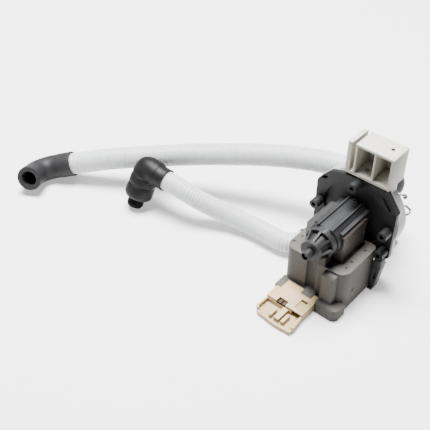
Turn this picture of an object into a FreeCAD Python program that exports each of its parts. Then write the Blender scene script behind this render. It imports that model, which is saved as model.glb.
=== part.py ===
import FreeCAD, Part
import math
import os
import re
import Sketcher

# Circulation pump with its two hoses, in millimetres.
# X runs to the right, Y to the rear and Z up. The origin lies on the ground under the rotor axis,
# in the plane of the coil block's front face, and the rotor turns about a line along Y.

SIZES = {
    # rotor axis and the gaps between pieces
    "axis_height": 56.5,
    "running_gap": 0.05,
    "seat_gap": 0.1,
    "side_gap": 0.3,
    # coil block
    "block_left": 28,
    "block_right": 24.5,
    "block_depth": 43,
    "block_height": 38.5,
    "front_left_radius": 7,
    "front_right_radius": 8,
    "back_right_radius": 4,
    "back_left_radius": 12,
    "lip_height": 10.5,
    "lip_front": 10,
    "lip_right": 26.5,
    "lip_back": 3,
    "lip_radius": 5,
    "lip_bevel": 1.2,
    "ledge_height": 6,
    "ledge_left": 27.5,
    "ledge_front": 10.5,
    "tongue_left": 6,
    "tongue_right": 3,
    "tongue_front": 7.5,
    "tongue_thickness": 1.8,
    "channel_centre": -3.75,
    "channel_radius": 4.6,
    "channel_depth": 3,
    "rib_left": 8.3,
    "rib_width": 10.3,
    "rib_depth": 5,
    "rib_height": 36.5,
    "rib_bevel": 1.5,
    "leg_slot": 1.5,
    # lamination stack
    "core_inner": 4.6,
    "core_left": 18,
    "core_right": 14.2,
    "core_front": 10,
    "core_back": 39,
    "core_bottom": 3.5,
    "core_rise": 6,
    "core_radius": 3,
    "yoke_height": 10,
    "yoke_gap": 0.5,
    "bore_gap": 0.4,
    # windings on their bobbins
    "bobbin_height": 21,
    "bobbin_wall": 0.7,
    "flange_thickness": 1,
    "winding_thickness": 1.8,
    "winding_radius": 2.2,
    # rotor canister
    "barrel_radius": 12.5,
    "cavity_radius": 10.4,
    "cavity_front": 2,
    "ring_radius": 11.6,
    "ring_front": 0.5,
    "ring_width": 5.5,
    "cone_front": -8,
    "cone_radius": 7,
    "collar_radius": 8.2,
    "collar_length": 2.5,
    "tip_radius": 3.4,
    "tip_length": 6.5,
    "tip_bore": 2.5,
    "tip_bore_depth": 5,
    "pip_radius": 0.9,
    "nose_ribs": 8,
    "nose_rib_width": 1.6,
    "pocket_radius": 6,
    "pocket_front": -7,
    "strip_half": 5,
    "strip_height": 11.5,
    "rail_width": 1.5,
    "rail_top": 12.7,
    "wing_inner": 7.6,
    "wing_outer": 12,
    "wing_thickness": 2.3,
    "wing_front": 10.5,
    "wing_radius": 0.9,
    "foot_left": 0.5,
    "foot_width": 7,
    "foot_front": -1,
    "foot_depth": 8,
    # mounting plate, its heights counted from the rotor axis
    "plate_front": 43.5,
    "plate_thickness": 3.5,
    "plate_half": 33.75,
    "plate_drop": 27.5,
    "plate_chamfer": 3,
    "shoulder_left": 15.5,
    "shoulder_right": 17.9,
    "crown_left": 24,
    "crown_left_top": 27.5,
    "top_left": 14.3,
    "top_left_top": 30.8,
    "top_right": 20,
    "top_right_top": 33.5,
    "corner_radius": 6,
    "recess_radius": 26,
    "recess_depth": 1.6,
    "tab_rise": 1.2,
    "tab_top": 22.8,
    "tab_top_height": 33.4,
    "tab_side": 34.6,
    "tab_side_height": 17.9,
    "tab_width": 5,
    "slot_width": 2.5,
    # screw bosses
    "boss_radius": 3.75,
    "boss_length": 8.5,
    "boss_bore": 1.65,
    "boss_top_height": 28.5,
    "boss_left": 29.6,
    "boss_right": 29.3,
    "boss_left_drop": 2.5,
    "boss_right_drop": 0.6,
    "boss_low_drop": 19.2,
    # bearings
    "shaft_radius": 2,
    "shaft_front": -6,
    "bearing_radius": 4.5,
    "front_bearing_length": 6.4,
    "cup_floor": 2.2,
    "rear_bearing_front": 40,
    "rear_bearing_length": 6,
    "cover_flange_radius": 15,
    "cover_flange": 2,
    "cover_shaft_gap": 0.6,
    "o_ring_wire": 0.8,
    "o_ring_place": 44,
    # rotor
    "washer_radius": 4.2,
    "washer_thickness": 0.8,
    "washer_gap": 0.25,
    "hub_radius": 5.5,
    "hub_end": 1,
    "magnet_front": 6,
    "magnet_length": 31,
    "magnet_gap": 0.6,
    # drive dog and impeller
    "dog_radius": 3.4,
    "dog_reach": 5.4,
    "dog_length": 3.2,
    "dog_angle": 50,
    "dog_gap": 0.3,
    "impeller_radius": 22,
    "impeller_hub": 7.6,
    "impeller_floor": 3,
    "impeller_disc": 1.2,
    "vane_height": 4.2,
    "vane_thickness": 1.6,
    "vane_count": 6,
    "cap_radius": 3.2,
    "cap_length": 1.4,
    # pump housing
    "chamber_radius": 24.5,
    "chamber_depth": 9,
    "chamber_wall": 2.5,
    "rear_wall": 2,
    "housing_flange": 3,
    "drum_radius": 35,
    "drum_wall": 2,
    "pillar_radius": 4.2,
    "pillar_length": 8,
    "inlet_radius": 9.5,
    "inlet_bore": 7.5,
    "inlet_length": 22,
    "inlet_bead": 0.4,
    "outlet_side": 25.4,
    "outlet_place": 54.5,
    "outlet_radius": 6.2,
    "outlet_bore": 4.5,
    "outlet_end": 15,
    "seal_radius": 25.2,
    "seal_width": 1.3,
    "seal_depth": 1.2,
    "saddle_left": 5,
    "saddle_right": 23,
    "saddle_base": 26,
    "saddle_depth": 11,
    "peg_radius": 2,
    "peg_height": 2,
    "peg_left": 1,
    "peg_right": 17,
    # screws
    "screw_radius": 1.55,
    "screw_head": 3.2,
    "screw_head_height": 2.4,
    "screw_length": 18,
    # mounting bracket
    "bracket_rise": 33.5,
    "bracket_height": 26.5,
    "bracket_left": 6,
    "bracket_right": 24.1,
    "bracket_front": 43.5,
    "bracket_depth": 20,
    "bracket_wall": 1.8,
    "bracket_floor": 2.2,
    "divider_left": 9,
    "divider_width": 1.5,
    "bracket_chamfer": 3,
    "bracket_hole": 1.5,
    "bracket_hole_x": 16.6,
    "bracket_hole_y": 54.7,
    "fin_left": 12.3,
    "fin_width": 3.6,
    # clip between plate and block
    "clip_left": 25.2,
    "clip_front": 36.5,
    "clip_bottom": 1,
    "clip_bottom_width": 3.9,
    "clip_shoulder_drop": 29,
    "clip_top_drop": 25,
    "clip_top_width": 7.8,
    "clip_slot_left": 27.6,
    "clip_slot_width": 2.3,
    "clip_slot_bottom": 12,
    "clip_slot_height": 8,
    "clip_slot_depth": 2.5,
    "clip_hook": 1.2,
    # connector
    "connector_left": 24,
    "connector_back_left": 20.5,
    "connector_shoulder": -12.5,
    "connector_right": 8,
    "connector_back": -2.6,
    "connector_front": -25,
    "connector_height": 8,
    "connector_floor": 2.5,
    "connector_wall": 1.5,
    "tray_left": 24.5,
    "tray_right": 9.5,
    "tray_side": -36.5,
    "tray_middle": -41.5,
    "tray_corner": -40.5,
    "tray_rim": 6,
    "tray_front_rim": 3.8,
    "tray_rim_back": -37.6,
    "notch_left": 15,
    "notch_width": 8,
    "notch_depth": 4.5,
    "pocket_left": 1,
    "pocket_width": 7.5,
    "pocket_depth": 12,
    "pocket_height": 4.4,
    "panel_back": -12,
    "panel_front": -21.5,
    "panel_drop": 0.7,
    "key_slot_width": 5,
    "key_slot_depth": 1.5,
    "terminal_width": 2.6,
    "terminal_height": 3.6,
    "terminal_length": 16,
    "terminal_spread": 3.5,
    # large inlet hose with its elbows
    "inlet_hose_radius": 9.4,
    "inlet_hose_bore": 7.5,
    "inlet_rib_depth": 0.5,
    "inlet_rib_count": 116,
    "inlet_elbow_radius": 12.2,
    "inlet_elbow_front": 66,
    "inlet_corner": 92.5,
    "inlet_cuff_end": 24,
    "hose_inset": 11,
    "clamp_place": 77,
    "clamp_wire": 0.9,
    "clamp_tang": 12.6,
    "end_elbow_radius": 10.4,
    "end_elbow_cuff": 10.8,
    "end_elbow_bore": 6.5,
    "end_elbow_bend": 16,
    "end_inset": 17.5,
    "end_cuff_length": 31.7,
    "end_cuff_rim": 12,
    "end_mouth_length": 27.7,
    # small outlet hose with its elbow and boot
    "outlet_hose_radius": 8.25,
    "outlet_hose_bore": 6.6,
    "outlet_rib_depth": 0.5,
    "outlet_rib_count": 64,
    "outlet_elbow_radius": 9.2,
    "outlet_elbow_top": 23.4,
    "outlet_cuff_radius": 9.3,
    "outlet_cuff_end": 20.5,
    "boot_inset": 6,
    "boot_cuff_radius": 9.3,
    "boot_cuff_length": 15.5,
    "boot_radius": 10.6,
    "boot_lip": 9.7,
    "boot_groove": 11,
    "boot_mouth": 8,
    "boot_bore": 5.6,
    "spigot_radius": 7,
    "spigot_bore": 5,
    "spigot_chamfer": 2.4,
    "spigot_length": 16,
}

doc = FreeCAD.newDocument("CirculationPump")
sheet = doc.addObject("Spreadsheet::Sheet", "Sizes")
for row, (name, number) in enumerate(SIZES.items(), start=1):
    sheet.set(f"A{row}", name)
    sheet.set(f"B{row}", str(number))
    sheet.setAlias(f"B{row}", name)
doc.recompute()


def vector(x, y, z):
    return FreeCAD.Vector(x, y, z)


def value(text):
    """The number that an expression of sheet names comes to."""
    return float(sheet.evalExpression(text))


def bind(piece, prop, text):
    """Ties a property to the sheet."""
    piece.setExpression(prop, re.sub(r"[a-z]\w*\b(?!\()", lambda word: "Sizes." + word.group(0), text))


def pair(text):
    """The two halves of 'low, high' or 'u, v'."""
    first, second = text.split(",")
    return first.strip(), second.strip()


# Sketch based features

def sketch(body, name, plane, start, loops):
    """Closed loops on a plane of the body: a list of 'u, v' corners, or a circle's ('u, v', radius)."""
    drawing = body.newObject("Sketcher::SketchObject", name)
    support = next(item for item in body.Origin.OriginFeatures if item.Role == plane)
    drawing.AttachmentSupport = (support, [""])
    drawing.MapMode = "FlatFace"
    if start:
        bind(drawing, "AttachmentOffset.Base.z", f"-({start})" if plane == "XZ_Plane" else start)
    for loop in loops:
        first = drawing.GeometryCount
        if isinstance(loop, tuple):
            centre, radius = loop
            u, v = pair(centre)
            circle = Part.Circle(vector(value(u), value(v), 0), vector(0, 0, 1), value(radius))
            drawing.addGeometry(circle, False)
            sizes = [("Radius", first, None, radius), ("DistanceX", first, 3, u), ("DistanceY", first, 3, v)]
        else:
            corners = [pair(corner) for corner in loop]
            places = [vector(value(u), value(v), 0) for u, v in corners]
            count = len(corners)
            lines = [Part.LineSegment(places[i], places[(i + 1) % count]) for i in range(count)]
            drawing.addGeometry(lines, False)
            joints = [Sketcher.Constraint("Coincident", first + i, 2, first + (i + 1) % count, 1)
                      for i in range(count)]
            drawing.addConstraint(joints)
            sizes = []
            for i, (u, v) in enumerate(corners):
                sizes += [("DistanceX", first + i, 1, u), ("DistanceY", first + i, 1, v)]
        for kind, edge, point, text in sizes:
            place = (edge,) if point is None else (edge, point)
            index = drawing.addConstraint(Sketcher.Constraint(kind, *place, value(text)))
            bind(drawing, f"Constraints[{index}]", text)
    return drawing


def changed(body, name, before, cut):
    """Stops on a feature that added or removed nothing."""
    doc.recompute()
    gain = body.Shape.Volume - before
    if (gain > -1e-6) if cut else (gain < 1e-6):
        raise ValueError(f"{name} changes nothing on {body.Label}: {gain}")


def pad(body, name, plane, span, loops, cut=False):
    """Fills or cuts the loops between two stations along the plane's own axis."""
    start, end = pair(span)
    before = body.Shape.Volume if body.Tip else 0
    feature = body.newObject("PartDesign::Pocket" if cut else "PartDesign::Pad", name)
    feature.Profile = sketch(body, name + "Sketch", plane, start, loops)
    bind(feature, "Length", f"({end}) - ({start})")
    feature.Reversed = (plane == "XZ_Plane") != cut
    changed(body, name, before, cut)
    return feature


def turned(body, name, outline, cut=False):
    """Turns 'station, radius' corners about the body's Y axis."""
    before = body.Shape.Volume if body.Tip else 0
    feature = body.newObject("PartDesign::Groove" if cut else "PartDesign::Revolution", name)
    feature.Profile = sketch(body, name + "Sketch", "YZ_Plane", "", [outline])
    feature.ReferenceAxis = (feature.Profile[0], ["H_Axis"])
    feature.Angle = 360
    changed(body, name, before, cut)
    return feature


def straight_edges(shape, direction, places):
    """Names of the straight edges along a direction that pass through one of the places."""
    names = []
    for number, edge in enumerate(shape.Edges, start=1):
        if not isinstance(edge.Curve, Part.Line) or edge.Curve.Direction.cross(direction).Length > 1e-6:
            continue
        start = edge.Vertexes[0].Point
        if any((start - place).cross(direction).Length < 1e-3 for place in places):
            names.append(f"Edge{number}")
    return names


def rounded(body, name, direction, corners, radius):
    """Rounds the body's straight edges along a direction at the given corners."""
    places = [vector(*(value(part) for part in corner.split(","))) for corner in corners]
    base = body.Tip
    edges = straight_edges(base.Shape, direction, places)
    fillet = body.newObject("PartDesign::Fillet", name)
    fillet.Base = (base, edges)
    bind(fillet, "Radius", radius)
    doc.recompute()


def new_body(label, on_axis=False):
    body = doc.addObject("PartDesign::Body", label)
    if on_axis:
        bind(body, "Placement.Base.z", "axis_height")
    return body


# Primitives and booleans

def box(name, across, along, up):
    solid = doc.addObject("Part::Box", name)
    for side, length, span in zip("xyz", ("Length", "Width", "Height"), (across, along, up)):
        low, high = pair(span)
        bind(solid, f"Placement.Base.{side}", low)
        bind(solid, length, f"({high}) - ({low})")
    return solid


def rod(name, place, span, radius):
    """A cylinder along Y through 'x, z' between two stations."""
    solid = doc.addObject("Part::Cylinder", name)
    solid.Placement = FreeCAD.Placement(vector(0, 0, 0), FreeCAD.Rotation(vector(1, 0, 0), -90))
    x, z = pair(place)
    front, back = pair(span)
    bind(solid, "Placement.Base.x", x)
    bind(solid, "Placement.Base.y", front)
    bind(solid, "Placement.Base.z", z)
    bind(solid, "Height", f"({back}) - ({front})")
    bind(solid, "Radius", radius)
    return solid


def cut(label, base, tool):
    solid = doc.addObject("Part::Cut", label)
    solid.Base = base
    solid.Tool = tool
    return solid


def fuse(label, pieces):
    solid = doc.addObject("Part::MultiFuse", label)
    solid.Shapes = pieces
    return solid


def feature(label, shape):
    """A sub-part whose shape comes from the sheet's numbers in this file."""
    solid = doc.addObject("Part::Feature", label)
    solid.Shape = shape
    return solid


X_AXIS = vector(1, 0, 0)
Y_AXIS = vector(0, 1, 0)
Z_AXIS = vector(0, 0, 1)

# Coil block
# A moulded block round both windings. Its foot has a high lip at the right, a low ledge at the left and
# a tongue over the connector. The front has a hollow channel and a raised rib, and the top has a slot for
# each leg of the lamination stack.

coil_block = new_body("coil_block")
pad(coil_block, "Block", "XY_Plane", "0, block_height", [[
    "-block_left, 0", "block_right, 0", "block_right, block_depth", "-block_left, block_depth"]])
rounded(coil_block, "FrontLeft", Z_AXIS, ["-block_left, 0, 0"], "front_left_radius")
rounded(coil_block, "FrontRight", Z_AXIS, ["block_right, 0, 0"], "front_right_radius")
rounded(coil_block, "BackRight", Z_AXIS, ["block_right, block_depth, 0"], "back_right_radius")
rounded(coil_block, "BackLeft", Z_AXIS, ["-block_left, block_depth, 0"], "back_left_radius")
lip_step = "connector_right + side_gap"
ledge_back = "connector_back + seat_gap"
pad(coil_block, "Lip", "XY_Plane", "0, lip_height", [[
    f"{lip_step}, 2", f"{lip_step}, -lip_front", "lip_right, -lip_front", "lip_right, lip_back",
    "block_right - 2, lip_back"]])
rounded(coil_block, "LipCorner", Z_AXIS, ["lip_right, -lip_front, 0"], "lip_radius")
pad(coil_block, "LipBevel", "YZ_Plane", f"{lip_step} - 1, lip_right + 1", [[
    "-lip_front - 1, lip_height - lip_bevel", "-lip_front - 1, lip_height + 1",
    "-lip_front + lip_bevel, lip_height + 1",
    "-lip_front + lip_bevel, lip_height", "-lip_front, lip_height - lip_bevel"]], cut=True)
ledge_step = "-connector_back_left - side_gap"
pad(coil_block, "Ledge", "XY_Plane", "0, ledge_height", [[
    "-ledge_left, -ledge_front", f"{ledge_step}, -ledge_front", f"{ledge_step}, {ledge_back}",
    f"{lip_step} + 0.5, {ledge_back}", f"{lip_step} + 0.5, 2", "-ledge_left, 2"]])
pad(coil_block, "Rib", "YZ_Plane", "rib_left, rib_left + rib_width", [[
    "-rib_depth, 0", "1, 0", "1, rib_height", "-rib_depth + rib_bevel, rib_height",
    "-rib_depth, rib_height - rib_bevel"]])
tongue_top = "connector_height + seat_gap * 2"
pad(coil_block, "Channel", "XY_Plane", f"{tongue_top}, block_height + 1", [
    ("channel_centre, channel_depth - channel_radius", "channel_radius")], cut=True)
tongue_bottom = f"{tongue_top} - tongue_thickness"
pad(coil_block, "Tongue", "XY_Plane", f"{tongue_bottom}, {tongue_top}", [[
    "-tongue_left, -tongue_front", "tongue_right, -tongue_front", "tongue_right, 1", "-tongue_left, 1"]])
pad(coil_block, "TongueRoot", "XY_Plane", f"ledge_height - 1, {tongue_top}", [[
    f"-tongue_left, {ledge_back}", f"tongue_right, {ledge_back}", "tongue_right, 1", "-tongue_left, 1"]])

winding_out = "bobbin_wall + winding_thickness + seat_gap * 2"
bobbin_bottom = "core_bottom + yoke_height + yoke_gap"
cavity_top = f"{bobbin_bottom} + bobbin_height + seat_gap"
pad(coil_block, "WindingSpace", "XY_Plane", f"core_bottom - seat_gap, {cavity_top}", [[
    f"-core_left - ({winding_out}), core_front - ({winding_out})",
    f"core_right + {winding_out}, core_front - ({winding_out})",
    f"core_right + {winding_out}, core_back + ({winding_out})",
    f"-core_left - ({winding_out}), core_back + ({winding_out})"]],
    cut=True)
for side, near, far in (("Right", "core_inner - side_gap", "core_right + leg_slot"),
                        ("Left", "-core_left - side_gap", "-core_inner + side_gap")):
    pad(coil_block, "LegSlot" + side, "XY_Plane", f"{cavity_top} - 1, block_height + 1", [[
        f"{near}, core_front - side_gap", f"{far}, core_front - side_gap",
        f"{far}, core_back + side_gap", f"{near}, core_back + side_gap"]], cut=True)

# Stator core
# A U of laminations: the yoke lies low in the block, and both legs stand out beside the canister, which
# sits in the bore between them.

core_top = "axis_height + core_rise"
stator_core = new_body("stator_core")
pad(stator_core, "Stack", "XZ_Plane", "core_front, core_back", [[
    "-core_left, core_bottom", "core_right, core_bottom", f"core_right, {core_top}",
    f"core_inner, {core_top}",
    "core_inner, core_bottom + yoke_height", "-core_inner, core_bottom + yoke_height",
    f"-core_inner, {core_top}", f"-core_left, {core_top}"]])
rounded(stator_core, "OuterCorner", Y_AXIS, [f"-core_left, 0, {core_top}"], "core_radius")
pad(stator_core, "Bore", "XZ_Plane", "core_front - 1, core_back + 1", [
    ("0, axis_height", "barrel_radius + bore_gap")], cut=True)

# Windings
# Each leg carries a flanged bobbin with its winding. The left leg is the wider one.

for side in ("left", "right"):
    def across(margin):
        """The span of this side's leg, widened by a margin."""
        near = f"core_inner - ({margin})"
        far = f"core_{side} + ({margin})"
        return f"-({far}), -({near})" if side == "left" else f"{near}, {far}"

    def along(margin):
        return f"core_front - ({margin}), core_back + ({margin})"

    bobbin_top = f"{bobbin_bottom} + bobbin_height"
    leg_gap = "seat_gap"
    tube = "seat_gap + bobbin_wall"
    flange = f"{winding_out} - seat_gap"
    wide = {"low": f"{bobbin_bottom}, {bobbin_bottom} + flange_thickness",
            "high": f"{bobbin_top} - flange_thickness, {bobbin_top}"}
    spool = fuse(f"Spool_{side}", [
        box(f"SpoolTube_{side}", across(tube), along(tube), f"{bobbin_bottom}, {bobbin_top}"),
        box(f"SpoolLow_{side}", across(flange), along(flange), wide["low"]),
        box(f"SpoolHigh_{side}", across(flange), along(flange), wide["high"])])
    leg = box(f"SpoolLeg_{side}", across(leg_gap), along(leg_gap), f"{bobbin_bottom} - 1, {bobbin_top} + 1")
    cut(f"bobbin_{side}", spool, leg)
    winding_span = f"{bobbin_bottom} + flange_thickness, {bobbin_top} - flange_thickness"
    winding = box(f"WindingBox_{side}", across(flange), along(flange), winding_span)
    doc.recompute()
    winding_round = doc.addObject("Part::Fillet", f"WindingRound_{side}")
    winding_round.Base = winding
    winding_round.Edges = [(number, value("winding_radius"), value("winding_radius"))
                           for number, edge in enumerate(winding.Shape.Edges, start=1)
                           if edge.tangentAt(0).cross(Z_AXIS).Length < 1e-6]
    spool_hole = box(f"WindingHole_{side}", across(tube), along(tube), winding_span)
    cut(f"coil_{side}", winding_round, spool_hole)

# Rotor canister
# Nose, barrel and mounting plate are one moulding. Eight ribs stand on the cone of the nose, two rails
# and a flat strip run along the top, and a wing each side rests on the lamination stack.

plate_back = "plate_front + plate_thickness"
plate_outline = [
    "-plate_half, -plate_drop + plate_chamfer", "-plate_half + plate_chamfer, -plate_drop",
    "plate_half - plate_chamfer, -plate_drop", "plate_half, -plate_drop + plate_chamfer",
    "plate_half, shoulder_right", "top_right, top_right_top", "-top_left, top_left_top",
    "-crown_left, crown_left_top", "-plate_half, shoulder_left"]
screw_places = [
    "0, boss_top_height", "-boss_left, -boss_left_drop", "boss_right, -boss_right_drop",
    "boss_right, -boss_low_drop"]

canister = new_body("rotor_canister", on_axis=True)
tip_front = "cone_front - collar_length - tip_length"
turned(canister, "Barrel", [
    f"{tip_front} + 1, 0", f"{tip_front} + 1, pip_radius", f"{tip_front} + tip_bore_depth, pip_radius",
    f"{tip_front} + tip_bore_depth, tip_bore", f"{tip_front}, tip_bore", f"{tip_front}, tip_radius",
    "cone_front - collar_length, tip_radius", "cone_front - collar_length, collar_radius",
    "cone_front, collar_radius", "cone_front, cone_radius", "ring_front, ring_radius - 3",
    "ring_front, ring_radius", "ring_front + ring_width, ring_radius",
    "ring_front + ring_width, barrel_radius", f"{plate_back}, barrel_radius",
    f"{plate_back}, cavity_radius", "cavity_front, cavity_radius", "cavity_front, pocket_radius",
    "pocket_front, pocket_radius", "pocket_front, 0"])
pad(canister, "NoseRib", "YZ_Plane", "-nose_rib_width / 2, nose_rib_width / 2", [[
    "cone_front - 0.2, cone_radius - 0.2", "cone_front - 0.2, collar_radius", "cone_front, collar_radius",
    "ring_front, ring_radius", "ring_front + 0.2, ring_radius", "ring_front + 0.2, ring_radius - 3.2"]])
ribs = canister.newObject("PartDesign::PolarPattern", "NoseRibs")
ribs.Originals = [canister.Tip]
ribs.Axis = (next(item for item in canister.Origin.OriginFeatures if item.Role == "Y_Axis"), [""])
ribs.Angle = 360
bind(ribs, "Occurrences", "nose_ribs")
canister.Tip = ribs
doc.recompute()
pad(canister, "Plate", "XZ_Plane", f"plate_front, {plate_back}", [plate_outline, ("0, 0", "cavity_radius")])
rounded(canister, "PlateCorner", Y_AXIS, ["-plate_half, 0, shoulder_left", "-crown_left, 0, crown_left_top"],
        "corner_radius")
pad(canister, "Recess", "XZ_Plane", "plate_front - 0.1, plate_front + recess_depth", [
    ("0, 0", "recess_radius"), ("0, 0", "barrel_radius")], cut=True)
recess = "plate_front + recess_depth + 0.1"
pad(canister, "CornerTab", "XZ_Plane", f"plate_front - tab_rise, {plate_back}", [[
    "tab_top, tab_top_height", "tab_side, tab_side_height", "tab_side - tab_width, tab_side_height - 1",
    "tab_top - tab_width + 2, tab_top_height - 2"]])
pad(canister, "SlotRight", "XZ_Plane", f"plate_front - 2, {plate_back} + 1", [[
    "20.4, 26.2", "27.4, 17.3", "27.4 + slot_width * 0.8, 17.3 + slot_width * 0.66",
    "20.4 + slot_width * 0.8, 26.2 + slot_width * 0.66"]], cut=True)
pad(canister, "SlotLeft", "XZ_Plane", f"plate_front - 1, {plate_back} + 1", [[
    "-29.6, 17.7", "-25.4, 19.6", "-25.4, 19.6 + slot_width", "-29.6, 17.7 + slot_width"]], cut=True)
pad(canister, "Bosses", "XZ_Plane", f"{plate_back} - boss_length - plate_thickness, {recess}", [
    (place, "boss_radius") for place in screw_places])
pad(canister, "BossBores", "XZ_Plane",
    f"{plate_back} - boss_length - plate_thickness - 1, {plate_back} + 1", [
    (place, "boss_bore") for place in screw_places], cut=True)
pad(canister, "TopStrip", "XZ_Plane", "ring_front + ring_width, plate_front", [[
    "-strip_half, strip_height", "strip_half, strip_height", "strip_half, barrel_radius + 1",
    "-strip_half, barrel_radius + 1"]], cut=True)
for side, sign in (("Right", ""), ("Left", "-")):
    pad(canister, "Rail" + side, "XZ_Plane", f"ring_front + ring_width - 1, {recess}", [[
        f"{sign}strip_half, barrel_radius - 3", f"{sign}(strip_half + rail_width), barrel_radius - 3",
        f"{sign}(strip_half + rail_width), rail_top", f"{sign}strip_half, rail_top"]])
    wing_low = "core_rise + seat_gap"
    pad(canister, "Wing" + side, "XZ_Plane", f"wing_front, {recess}", [[
        f"{sign}(wing_inner + 2.4), {wing_low}", f"{sign}wing_outer, {wing_low}",
        f"{sign}wing_outer, {wing_low} + wing_thickness", f"{sign}wing_inner, {wing_low} + wing_thickness"]])
    rounded(canister, "WingCorner" + side, Z_AXIS, [f"{sign}wing_outer, wing_front, 0"], "wing_radius")
pad(canister, "Foot", "XZ_Plane", "foot_front, foot_front + foot_depth", [[
    "foot_left, block_height - axis_height + seat_gap",
    "foot_left + foot_width, block_height - axis_height + seat_gap",
    "foot_left + foot_width, -ring_radius + 2.5", "foot_left, -ring_radius + 1"]])

# Bearings of the rotor
# Each is a plain ring in a rubber cup: the front cup in the nose, the rear one in the bearing cover,
# which closes the canister with a sealing ring in its groove.

front_cup = new_body("front_bearing_cup", on_axis=True)
cup_back = "cavity_front - seat_gap"
bearing_front = "pocket_front + seat_gap + cup_floor"
turned(front_cup, "Cup", [
    "pocket_front + seat_gap, shaft_radius + cover_shaft_gap",
    "pocket_front + seat_gap, pocket_radius - running_gap",
    f"{cup_back}, pocket_radius - running_gap", f"{cup_back}, bearing_radius + running_gap",
    f"{bearing_front}, bearing_radius + running_gap", f"{bearing_front}, shaft_radius + cover_shaft_gap"])
front_bearing = new_body("front_bearing", on_axis=True)
bearing_back = f"{bearing_front} + running_gap + front_bearing_length"
turned(front_bearing, "Ring", [
    f"{bearing_front} + running_gap, shaft_radius + running_gap",
    f"{bearing_front} + running_gap, bearing_radius",
    f"{bearing_back}, bearing_radius", f"{bearing_back}, shaft_radius + running_gap"])

rear_back = "rear_bearing_front + rear_bearing_length"
rear_bearing = new_body("rear_bearing", on_axis=True)
turned(rear_bearing, "Ring", [
    "rear_bearing_front, shaft_radius + running_gap", "rear_bearing_front, bearing_radius",
    f"{rear_back}, bearing_radius", f"{rear_back}, shaft_radius + running_gap"])
rear_cup = new_body("rear_bearing_cup", on_axis=True)
turned(rear_cup, "Cup", [
    "rear_bearing_front, bearing_radius + running_gap", "rear_bearing_front, pocket_radius",
    f"{rear_back} + running_gap, pocket_radius", f"{rear_back} + running_gap, bearing_radius + running_gap"])
cover = new_body("bearing_cover", on_axis=True)
plug_radius = "cavity_radius - running_gap"
groove_radius = "cavity_radius - o_ring_wire * 2"
turned(cover, "Plug", [
    "rear_bearing_front - 0.5, pocket_radius + running_gap", f"rear_bearing_front - 0.5, {plug_radius}",
    f"o_ring_place - o_ring_wire - seat_gap, {plug_radius}",
    f"o_ring_place - o_ring_wire - seat_gap, {groove_radius}",
    f"o_ring_place + o_ring_wire + seat_gap, {groove_radius}",
    f"o_ring_place + o_ring_wire + seat_gap, {plug_radius}",
    f"{plate_back} + seat_gap, {plug_radius}", f"{plate_back} + seat_gap, cover_flange_radius",
    f"{plate_back} + cover_flange, cover_flange_radius",
    f"{plate_back} + cover_flange, shaft_radius + cover_shaft_gap",
    f"{rear_back} + seat_gap, shaft_radius + cover_shaft_gap",
    f"{rear_back} + seat_gap, pocket_radius + running_gap"])
o_ring = doc.addObject("Part::Torus", "cover_o_ring")
o_ring.Placement = FreeCAD.Placement(vector(0, 0, 0), FreeCAD.Rotation(X_AXIS, 90))
bind(o_ring, "Placement.Base.y", "o_ring_place")
bind(o_ring, "Placement.Base.z", "axis_height")
bind(o_ring, "Radius1", "cavity_radius - o_ring_wire")
bind(o_ring, "Radius2", "o_ring_wire")

# Rotor
# The ringed magnet sits on its hub, the hub on the shaft, and a washer takes the thrust at the front
# bearing. The drive dog is a sleeve with one sector shaped wing.

cap_front = f"{plate_back} + chamber_depth + seat_gap"
shaft = new_body("shaft", on_axis=True)
turned(shaft, "Rod", [
    "shaft_front, 0", "shaft_front, shaft_radius - 0.4", "shaft_front + 0.4, shaft_radius",
    f"{cap_front} + cap_length - seat_gap, shaft_radius", f"{cap_front} + cap_length - seat_gap, 0"])
washer_front = f"{bearing_back} + washer_gap"
thrust_washer = new_body("thrust_washer", on_axis=True)
turned(thrust_washer, "Washer", [
    f"{washer_front}, shaft_radius", f"{washer_front}, washer_radius",
    f"{washer_front} + washer_thickness, washer_radius", f"{washer_front} + washer_thickness, shaft_radius"])
hub_front = f"{washer_front} + washer_thickness"
hub_back = "magnet_front + magnet_length + hub_end"
rotor_hub = new_body("rotor_hub", on_axis=True)
turned(rotor_hub, "Hub", [
    f"{hub_front}, shaft_radius", f"{hub_front}, hub_radius", f"{hub_back}, hub_radius",
    f"{hub_back}, shaft_radius"])
magnet = new_body("rotor_magnet", on_axis=True)
turned(magnet, "Magnet", [
    "magnet_front, hub_radius", "magnet_front, cavity_radius - magnet_gap",
    "magnet_front + magnet_length, cavity_radius - magnet_gap", "magnet_front + magnet_length, hub_radius"])

dog_front = f"{plate_back} + cover_flange + dog_gap"
drive_dog = new_body("drive_dog", on_axis=True)
turned(drive_dog, "Sleeve", [
    f"{dog_front}, shaft_radius", f"{dog_front}, dog_radius", f"{dog_front} + dog_length, dog_radius",
    f"{dog_front} + dog_length, shaft_radius"])


def sector(inner, outer, sign):
    """Corners of a wedge of the dog's angle, above or below the axis, between two radii."""
    near, far = f"({inner})", f"({outer})"
    lean = "(dog_angle / 2)"
    return [f"-{near} * sin({lean}), {sign}{near} * cos({lean})",
            f"{near} * sin({lean}), {sign}{near} * cos({lean})",
            f"{far} * sin({lean}), {sign}{far} * cos({lean})",
            f"-{far} * sin({lean}), {sign}{far} * cos({lean})"]


pad(drive_dog, "DogWing", "XZ_Plane", f"{dog_front}, {dog_front} + dog_length", [
    sector("shaft_radius + 0.4", "dog_reach", "")])

# Impeller
# Straight vanes on a thin disc. The hub hides a stop between whose two faces the dog swings, so the
# impeller has lost motion on the shaft, and a cap keeps it there.

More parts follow.
